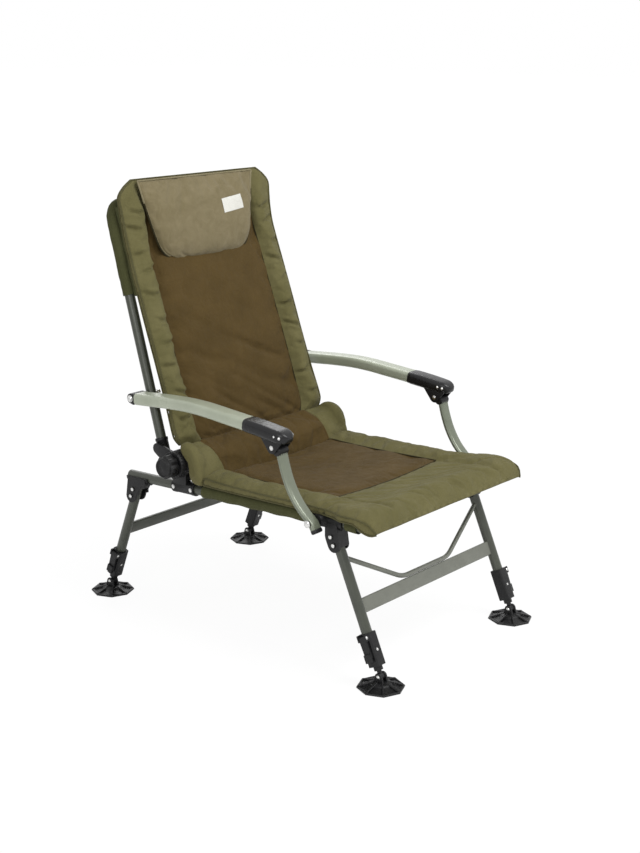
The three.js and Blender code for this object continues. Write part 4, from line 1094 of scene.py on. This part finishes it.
def back_creases(p):
    """Short creases across the side bolsters and soft slanting folds on the middle panel."""
    x, y, z = p.T
    away = np.abs(x)
    out = 0.8 * ripple(p, 45)
    side = (away > 176) & (away < 238) & (y < 345)
    wave_z = z + 6 * ripple(p, 50, 3.0) + np.where(x > 0, 16, 0)
    for k, at in enumerate(BOLSTER_CREASES):
        from_seam = math.sin(k * 2.3) > 0
        reach = ramp(away, 174, 184) * np.clip((220 if from_seam else 231) - away, 0, 12) / 12
        if not from_seam:
            reach = reach * ramp(away, 184, 206)
        slant = 0.3 * math.sin(k * 1.7) * (away - 205)
        out -= side * 7.0 * reach * valley(wave_z - at - slant, 4.4)
        out += side * 2.2 * reach * valley(wave_z - at - slant - 9, 7)
    for lean in (0.9, -0.9):
        out -= side * (x < 0) * 3.4 * valley(z - 436 - lean * (away - 206), 4.2) * valley(z - 436, 26)
    middle = (away < 168) & (z < 780)
    for at, lean, depth, wide in PANEL_FOLDS:
        bend = z + lean * x + 14 * ripple(p, 120, at)
        fade = ramp(-away, -168, -138) * np.clip(0.6 + 0.9 * ripple(p, 90, at + 5) + x / 400, 0, 1)
        out -= middle * depth * fade * valley(bend - at, wide)
    return out * np.clip((BACK_TOP_Z - z) / 25, 0.1, 1)


covered(back_work, "back_cushion", back_creases, "backrest", "back_pad")
seams = [back.rings[1:, k] + back_forward[1:] * 0.9 for k in (left_seam, right_seam)]
edges = [line[1:] for line in back.edges()]
edges[:2] = [line + back_forward[1:] * 0.6 for line in edges[:2]]
top = back.rings[-1]
top_edge = top[: back.cols] * 0.5 + top[back.rear][::-1] * 0.5 + (0, 0, 0.8)
piping("back_cushion_piping", [*edges, top_edge], 2.0, PIPING, "backrest", "olive_fabric")
# Dark lines along the panel's seams: stitching and painted shade in the seam grooves.
piping("back_cushion_seams", seams, 1.7, STITCH_AND_SHADE, "backrest", "olive_fabric")

# Head pillow

PILLOW_FOOT = np.array((0, 299.8, 765.0))
PILLOW_TOP = np.array((0, 332.5, 939.0))
PILLOW_SHIFT = -7.0
PILLOW_STATIONS = [  # up, half-width, thickness
    (-3, 74, 2.5), (0, 94, 6), (6, 113, 10), (17, 129, 13), (38, 142, 16), (78, 155, 17.5), (118, 165, 16.5),
    (150, 172, 13), (166, 176, 8), (174, 178, 3),
]
PILLOW_CREASES = (  # x, whether from the top, slope, depth, width
    (-92, True, 0.25, 1.8, 9), (35, True, -0.2, 1.6, 9), (120, True, 0.2, 1.6, 8),
    (-140, False, -0.3, 1.4, 8), (70, False, 0.3, 1.2, 9),
)
SEAM_SHADOW_TOP = 130  # how far up the pillow the dark line beneath it goes: a seam darkened as painted shadow
pillow_up = unit(PILLOW_TOP - PILLOW_FOOT)
pillow_out = np.array((0, -pillow_up[2], pillow_up[1]))


def pillow_point(x, up, out):
    return PILLOW_FOOT + np.array((x, 0, 0)) + pillow_up * up + pillow_out * out


pillow_rows = evenly(PILLOW_STATIONS, 5.5, (0,))
front, rear = [], []
for up, half, thick in pillow_rows:
    xs = np.linspace(-half, half, 63)
    t = np.abs(xs) / half
    xs += PILLOW_SHIFT
    lift = 4.9 + 9 * ramp(np.abs(xs), 150, 186) ** 1.3 * np.clip(1.1 - up / 150, 0.3, 1)
    puff = (1 - t**6) ** 0.5
    front.append([pillow_point(x, up, l + 2.2 + thick * p) for x, l, p in zip(xs, lift, puff)])
    rear.append([pillow_point(x, up, l) for x, l in zip(xs, lift)])
pillow = Padding(front, rear, 1)
pillow_work = pillow.mesh("pillow_work", [SUEDE])
hold = pillow.hold()
hold[:, pillow.cols :] = 1
inflate(pillow_work, hold, pressure=2.2, grow=0.03, cap=6.0)


def pillow_creases(p):
    x = p[:, 0]
    out = 0.9 * ripple(p, 38, 11.0)
    up = (p - PILLOW_FOOT) @ pillow_up
    for at, from_top, lean, depth, wide in PILLOW_CREASES:
        reach = ramp(up, 112, 167) if from_top else ramp(-up, -50, -5)
        out -= depth * reach * valley(x - at - lean * (up - 80) - 5 * ripple(p, 40, at), wide)
    return out


pillow_obj = parted(pillow_work, ["head_rest_pillow"], pillow_creases)[0]
place(pillow_obj, "backrest", "head_pillow")
low = int(np.searchsorted(pillow_rows[:, 0], SEAM_SHADOW_TOP))
face = pillow.rings[:, : pillow.cols]
binding_line = np.concatenate([face[:, 0], face[-1], face[::-1, -1], face[0, ::-1]])
keep = np.concatenate([[True], np.linalg.norm(np.diff(binding_line, axis=0), axis=1) > 1.0])
binding = spaced(binding_line[keep], 260)
piping("head_pillow_binding", [binding], 2.1, BINDING, "backrest", "suede_fabric")
# A dark line just below the pillow's foot and lower sides: the seam there, darkened as painted shadow under
# the pillow.
painted_shadow_line = np.concatenate([face[low:0:-1, -1], face[0, ::-1], face[1:low, 0]]) - pillow_up * 4.2
piping("head_pillow_seam_and_shadow", [spaced(painted_shadow_line, 160)], 2.3, STITCH_AND_SHADE, "backrest", "suede_fabric")

# Label on the pillow

LABEL_HALF = (33, 16)
LABEL_X, LABEL_UP = 75, 103
LABEL_TURN = 0.1
LABEL_LIFT = 0.9
pillow_tree = BVHTree.FromObject(pillow_obj, bpy.context.evaluated_depsgraph_get())


def on_pillow(x, up, out):
    start = Vector(pillow_point(x, up, 80) * MM)
    found = pillow_tree.ray_cast(start, Vector(-pillow_out))[0]
    return np.array(found) / MM + pillow_out * out


rows = []
for v in np.linspace(-LABEL_HALF[1], LABEL_HALF[1], 9):
    us = np.linspace(-LABEL_HALF[0], LABEL_HALF[0], 17)
    places = ((LABEL_X + u - LABEL_TURN * v, LABEL_UP + v + LABEL_TURN * u) for u in us)
    rows.append([on_pillow(x, up, LABEL_LIFT) for x, up in places])
label_obj = Shape().sheet(rows).piece("pillow_patch", LABEL, "backrest", "label_fabric", "pillow_label")

# Seat cushion

SEAT_STATIONS = [  # y, half-width, seam, crown share, underside over the rails, thickness
    (-390.5, 250, 182, 0.0, -1, 8), (-388, 254, 184, 0.1, -2, 15), (-378, 259, 184, 0.4, -2, 30),
    (-362, 262, 182, 0.8, 4, 30), (-345, 264, 180, 1, 15, 20), (-310, 263, 178, 1, 15.6, 19),
    (-280, 252, 176, 1, 15.6, 19), (-240, 246, 174, 1, 15.6, 19), (-150, 245, 173, 1, 15.6, 19),
    (-40, 244, 172, 1, 15.6, 20), (40, 242, 171, 1, 15.6, 23), (74, 240, 170, 0.8, 15.6, 25),
    (86, 238, 168, 0.3, 15.6, 20),
]
SEAT_BAND = -224  # where the brown panel begins
SEAT_INNER, SEAT_OUTER = 29, 12  # columns from the middle to a seam, and on to the edge
SEAT_SAG = 19.0

seat_rows = evenly(SEAT_STATIONS, 6.0, (0,))
seat_y = seat_rows[:, 0]
front, rear = [], []
for y, half, seam, crown, under, thick in seat_rows:
    xs = across_steps(seam, half, SEAT_INNER, SEAT_OUTER)
    away = np.abs(xs)
    t = ramp(away, seam, half)
    sag = SEAT_SAG * ramp(y, -352, -292) * np.clip(1 - (away / 236) ** 2, 0, 1)
    panel = -1.5 + 4 * (1 - (away / seam) ** 3)
    bolster = 8.5 * crown * np.sin(math.pi * t**0.8) - 5 * t**2
    top = under - sag + thick + np.where(away < seam, panel * crown, bolster)
    top = top - ramp(t, 0.75, 1) ** 2 * (thick * 0.18)
    for face, height in ((front, top), (rear, under - sag)):
        face.append(row_at(y, xs, rail_z(y) + height))
seat = Padding(front, rear)
left_seam, right_seam = SEAT_OUTER, seat.cols - 1 - SEAT_OUTER


def seat_mark(i, j):
    return 1 if left_seam <= j < right_seam and SEAT_BAND < seat_y[i] else 0


seat_work = seat.mesh("seat_work", [OLIVE, BROWN], seat_mark)
band_row = int(np.argmin(np.abs(seat_y - SEAT_BAND)))
hold = seat.hold()
hold[band_row:, [left_seam, right_seam]] = 1
hold[band_row, left_seam : right_seam + 1] = 1
for i in range(band_row):
    share = 1 - i / band_row
    for side, edge in ((left_seam, 2), (right_seam, seat.cols - 3)):
        hold[i, int(round(side + (edge - side) * share * 0.9))] = 1
inflate(seat_work, hold, pressure=2.4, grow=0.05, cap=8.0)

SEAT_SIDE_CREASES = (-180, -120, -62, 0, 52)  # y
SEAT_FRONT_CREASES = (-200, -160, -128, -95, -60, -25, 12, 52, 90, 130, 172)  # x


def seat_creases(p):
    x, y, z = p.T
    away = np.abs(x)
    top = z > rail_z(y) + 2
    out = 0.8 * ripple(p, 45, 21.0)
    for k, at in enumerate(SEAT_SIDE_CREASES):
        fade = ramp(away, 172, 187) * ramp(-away, -246, -234)
        slant = 0.3 * math.sin(k * 2.1) * (away - 205)
        out -= top * 1.2 * fade * valley(y - at - slant - 5 * ripple(p, 50, k), 8)
    for k, at in enumerate(SEAT_FRONT_CREASES):
        fade = ramp(-y, -SEAT_BAND + 4, -SEAT_BAND + 20) * ramp(y, -392, -378)
        lean = -1.0 - 0.35 * math.sin(k * 1.9)
        out -= top * 3.8 * fade * valley(x - at - lean * (y + 300) - 7 * ripple(p, 60, k + 3), 5.5)
    return out


covered(seat_work, "seat_cushion", seat_creases, "seat_frame", "seat_pad")
lift = np.array((0, 0, 0.5))
seams = [seat.rings[band_row:, k] + lift for k in (left_seam, right_seam)]
seams.append(seat.rings[band_row, left_seam : right_seam + 1] + lift)
# Dark lines along the seat panel's seams: stitching and painted shade in the seam grooves.
piping("seat_cushion_seams", seams, 1.6, STITCH_AND_SHADE, "seat_frame", "olive_fabric")
edges = seat.edges()
edges[:2] = [line + lift for line in edges[:2]]
piping("seat_cushion_piping", edges, 2.0, PIPING, "seat_frame", "olive_fabric")

# Lumbar roll

ROLL = [  # the section in the middle, as y and z
    (84, 313), (80, 328), (90, 351), (106, 369), (125, 381), (144, 387.5), (160, 391), (171, 385), (164, 367),
    (145, 348), (130, 331), (117, 318),
]
ROLL_END = [  # the section at both ends
    (88, 316), (85, 330), (90, 350), (96, 370), (106, 388), (122, 399), (140, 402), (150, 396), (145, 388),
    (127, 374), (119, 350), (114, 322),
]
ROLL_SHARES = [  # x, share of the end section, share of full size
    (0, 0, 1), (88, 0, 1), (165, 0, 1), (171, 0, 0.985), (174, 0, 0.94), (177, 0, 0.985), (183, 0, 1),
    (212, 0, 0.98), (219, 0.4, 0.95), (224, 1, 1), (240, 1, 0.97), (247, 1, 0.85), (250, 1, 0.6),
]
ROLL_SEAM = 174
ROLL_CREASES = (-150, -96, -40, 22, 78, 130)  # x
ROLL_SIDES = 44
ROLL_OUTER_XS = [
    165, 168, 171, 174, 177, 180, 185, 191, 197, 203, 209, 215, 219, 222, 227, 233, 240, 245, 248.5, 250,
]


def closed_smooth(points, count):
    p = np.asarray(points, float)
    line = smooth_line(np.vstack([p[-2:], p, p[:2]]), 40 * len(p))
    start = int(np.argmin(np.linalg.norm(line[: len(line) // 3] - p[0], axis=1)))
    half = len(line) * 2 // 3
    end = half + int(np.argmin(np.linalg.norm(line[half:] - p[0], axis=1)))
    return spaced(line[start : end + 1], count + 1)[:-1]


roll_middle_section, roll_end_section = (closed_smooth(points, ROLL_SIDES) for points in (ROLL, ROLL_END))
shares = np.array(ROLL_SHARES, float).T


def roll_ring(x):
    end_share, size = (np.interp(abs(x), shares[0], column) for column in shares[1:])
    both = roll_middle_section * (1 - end_share) + roll_end_section * end_share
    centre = both.mean(axis=0)
    at = centre + (both - centre) * size
    return np.column_stack([np.full(len(at), x), at])


half_x = np.concatenate([np.arange(0, 165, 6.0), ROLL_OUTER_XS])
xs = np.concatenate([-half_x[:0:-1], half_x])
rings = np.array([roll_ring(x) for x in xs])
roll = Shape().rings(rings)
in_middle = np.abs((xs[:-1] + xs[1:]) / 2) < ROLL_SEAM
marks = [0 if len(face) == 4 and in_middle[face[0] // ROLL_SIDES] else 1 for face in roll.faces]
roll_work = mesh_object("roll_work", roll.points[0] * MM, roll.faces, [BROWN, OLIVE], marks, roll.uvs)
hold = np.zeros((len(xs), ROLL_SIDES))
hold[np.abs(np.abs(xs) - ROLL_SEAM) < 0.1] = 1
hold[[0, 1, -2, -1]] = 1
hold[(rings[:, :, 2] < 318) | (rings[:, :, 1] > 162)] = 1
inflate(roll_work, hold, pressure=2.0, grow=0.06, cap=6.0)


def roll_creases(p):
    x, y, z = p.T
    out = 0.7 * ripple(p, 32, 31.0)
    front_side = (y < 150) & (z > 326)
    for k, at in enumerate(ROLL_CREASES):
        out -= front_side * 2.4 * valley(x - at - 0.5 * (z - 355) - 6 * ripple(p, 40, k + 9.0), 6.5)
    return out


roll_pieces = parted(roll_work, ["lumbar_roll_middle", "lumbar_roll_ends"], roll_creases)
for obj, slot_name in zip(roll_pieces, ("brown_fabric", "olive_fabric")):
    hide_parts("lumbar_roll")
    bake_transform(obj)

# Seat sling and back sleeve

SLING_Y = (-334, 88)
OPEN_Y = (-303, -217)  # where the front leg brackets leave no room for the sling's sleeves
SLEEVE_RUNS = ((SLING_Y[0], -304.5), (-215.5, SLING_Y[1]))
SLING_HALF = 215.5
SLING_RADIUS = 12.8

sling = Shape()
xs = np.linspace(SLING_HALF, -SLING_HALF, 73)
arch = 1 - (xs / 222) ** 2
rows = []
for y in np.linspace(*SLING_Y, 72):
    edge_cut = np.clip(xs, -211, 211) if OPEN_Y[0] < y < OPEN_Y[1] else xs
    height = rail_z(y) + (9 - 14 * arch) + 0.5 * math.sin(y / 23.0) * arch
    rows.append(row_at(y, edge_cut, height))
sling.sheet(rows)
a = np.linspace(math.radians(150), math.radians(-160), 34)
for side in (1, -1):
    for low, high in SLEEVE_RUNS:
        rows = []
        for y in np.arange(low, high + 0.1, (high - low) / max(4, round((high - low) / 6))):
            slack = SLING_RADIUS + 0.9 * np.clip(-np.sin(a), 0, 1) * (1 + math.sin(y / 11.0))
            x, z = FRAME_X + slack * np.cos(a), slack * np.sin(a)
            rows.append(row_at(y, side * x, rail_z(y) + z))
        sling.sheet(rows)
sling_obj = sling.piece("seat_sling_cloth", SLING, "seat_frame", "dark_olive_fabric", "seat_sling", sharp=80)

SLEEVE_LOW_Z = 700
sleeve_line = back_loop(SLEEVE_LOW_Z, 130)
turn = np.linspace(0, 2 * math.pi + 0.5, 30)
section = np.stack([np.cos(turn), np.sin(turn)], axis=1) * (13.2 + 0.9 * turn / turn[-1])[:, None]
rings = rings_along(sleeve_line, section)
centre = sleeve_line[:, None]
loose = 1 + 0.075 * ripple(rings.reshape(-1, 3), 16, 41.0).reshape(rings.shape[:2])
sleeve = Shape().sheet(centre + (rings - centre) * loose[..., None])
for side in (1, -1):
    web = []
    for z in np.linspace(SLEEVE_LOW_Z, 884, 36):
        k = int(np.argmin(np.abs(back_path[:, 1] - z)))
        tube = back_at(z) - (1.5, 12.6, 0)
        pad = back_centre[k] - back_forward[k] * 2.2 + (226, 0, 0)
        bulge = np.sin(np.linspace(0, math.pi, 9)) * (2.5 + 1.5 * math.sin(z / 9))
        web.append([(side * (p[0] + b), p[1], p[2]) for p, b in zip(spaced([tube, pad], 9), bulge)])
    sleeve.sheet(web)
sleeve_obj = sleeve.piece("back_tube_sleeve", SLING, "backrest", "dark_olive_fabric", "back_sleeve", sharp=80)

# Floor, in metres

FLOOR_HALF = 30.0
corners = [(x * FLOOR_HALF, y * FLOOR_HALF, 0) for x, y in ((-1, -1), (1, -1), (1, 1), (-1, 1))]
floor = mesh_object("floor", corners, [(0, 1, 2, 3)], [])
n, at = new_material("floor_white")
n.set(Base_Color=(0.93, 0.93, 0.93, 1), Roughness=0.9, Specular_IOR_Level=0.0)
away = n.node("ShaderNodeVectorMath", {0: at}, operation="LENGTH").outputs["Value"]
seen = n.node("ShaderNodeLightPath").outputs["Is Camera Ray"]
white = n.node("ShaderNodeEmission", {"Color": (1, 1, 1, 1), "Strength": 1.02}).outputs[0]
share = n.math("MULTIPLY", n.span(away, 0.45, 1.1, 0.9, 1.0), seen)
blend_white = n.node("ShaderNodeMixShader", {0: share, 1: n.shader.outputs[0], 2: white}).outputs[0]
n.feed(n.tree.nodes["Material Output"].inputs["Surface"], blend_white)
floor.data.materials.append(n.owner)

# World

w = Nodes(bpy.data.worlds.new("studio"))
w.tree.nodes.clear()
bpy.context.scene.world = w.owner
rays = w.node("ShaderNodeLightPath").outputs
seen = rays["Is Camera Ray"]
for ray in ("Is Glossy Ray", "Is Transmission Ray"):
    seen = w.math("MAXIMUM", seen, rays[ray])
ambient, white = (
    w.node("ShaderNodeBackground", {"Color": (1, 1, 1, 1), "Strength": strength}).outputs[0]
    for strength in (0.6, 1.0)
)
mixed = w.node("ShaderNodeMixShader", {0: seen, 1: ambient, 2: white}).outputs[0]
w.node("ShaderNodeOutputWorld", {0: mixed})

# Lamps and camera, in metres and watts


def lamp(name, at, target, size, power):
    data = bpy.data.lights.new(name, "AREA")
    data.shape = "SQUARE"
    data.size = size
    data.energy = power
    obj = bpy.data.objects.new(name, data)
    bpy.context.scene.collection.objects.link(obj)
    obj.location = at
    obj.rotation_euler = (Vector(target) - Vector(at)).to_track_quat("-Z", "Y").to_euler()


lamp("key", (0.5, -2.3, 3.5), (0, 0, 0.5), 2.2, 112)
lamp("side", (-3.0, -1.0, 1.8), (0, 0, 0.5), 1.8, 30)
lamp("rim", (1.8, 2.2, 2.4), (0, 0, 0.6), 1.6, 26)

CAMERA_AT = (-2.338386, -2.015546, 1.266297)
CAMERA_TURN = (49.748, 15.406, 0.328)  # yaw, pitch down and roll in degrees
CAMERA_LENS = 61.877

camera_data = bpy.data.cameras.new("photo_view")
camera = bpy.data.objects.new("photo_view", camera_data)
bpy.context.scene.collection.objects.link(camera)
yaw, pitch, tilt = (math.radians(a) for a in CAMERA_TURN)
ahead = np.array((math.sin(yaw) * math.cos(pitch), math.cos(yaw) * math.cos(pitch), -math.sin(pitch)))
level = unit(np.cross(ahead, Z_AXIS))
upward = np.cross(level, ahead)
right_way = level * math.cos(tilt) + upward * math.sin(tilt)
up_way = -level * math.sin(tilt) + upward * math.cos(tilt)
matrix = np.eye(4)
matrix[:3] = np.column_stack([right_way, up_way, -ahead, CAMERA_AT])
camera.matrix_world = Matrix(matrix.tolist())
camera_data.sensor_width = 36
camera_data.lens = CAMERA_LENS
bpy.context.scene.camera = camera
bpy.context.scene.view_settings.view_transform = "Standard"
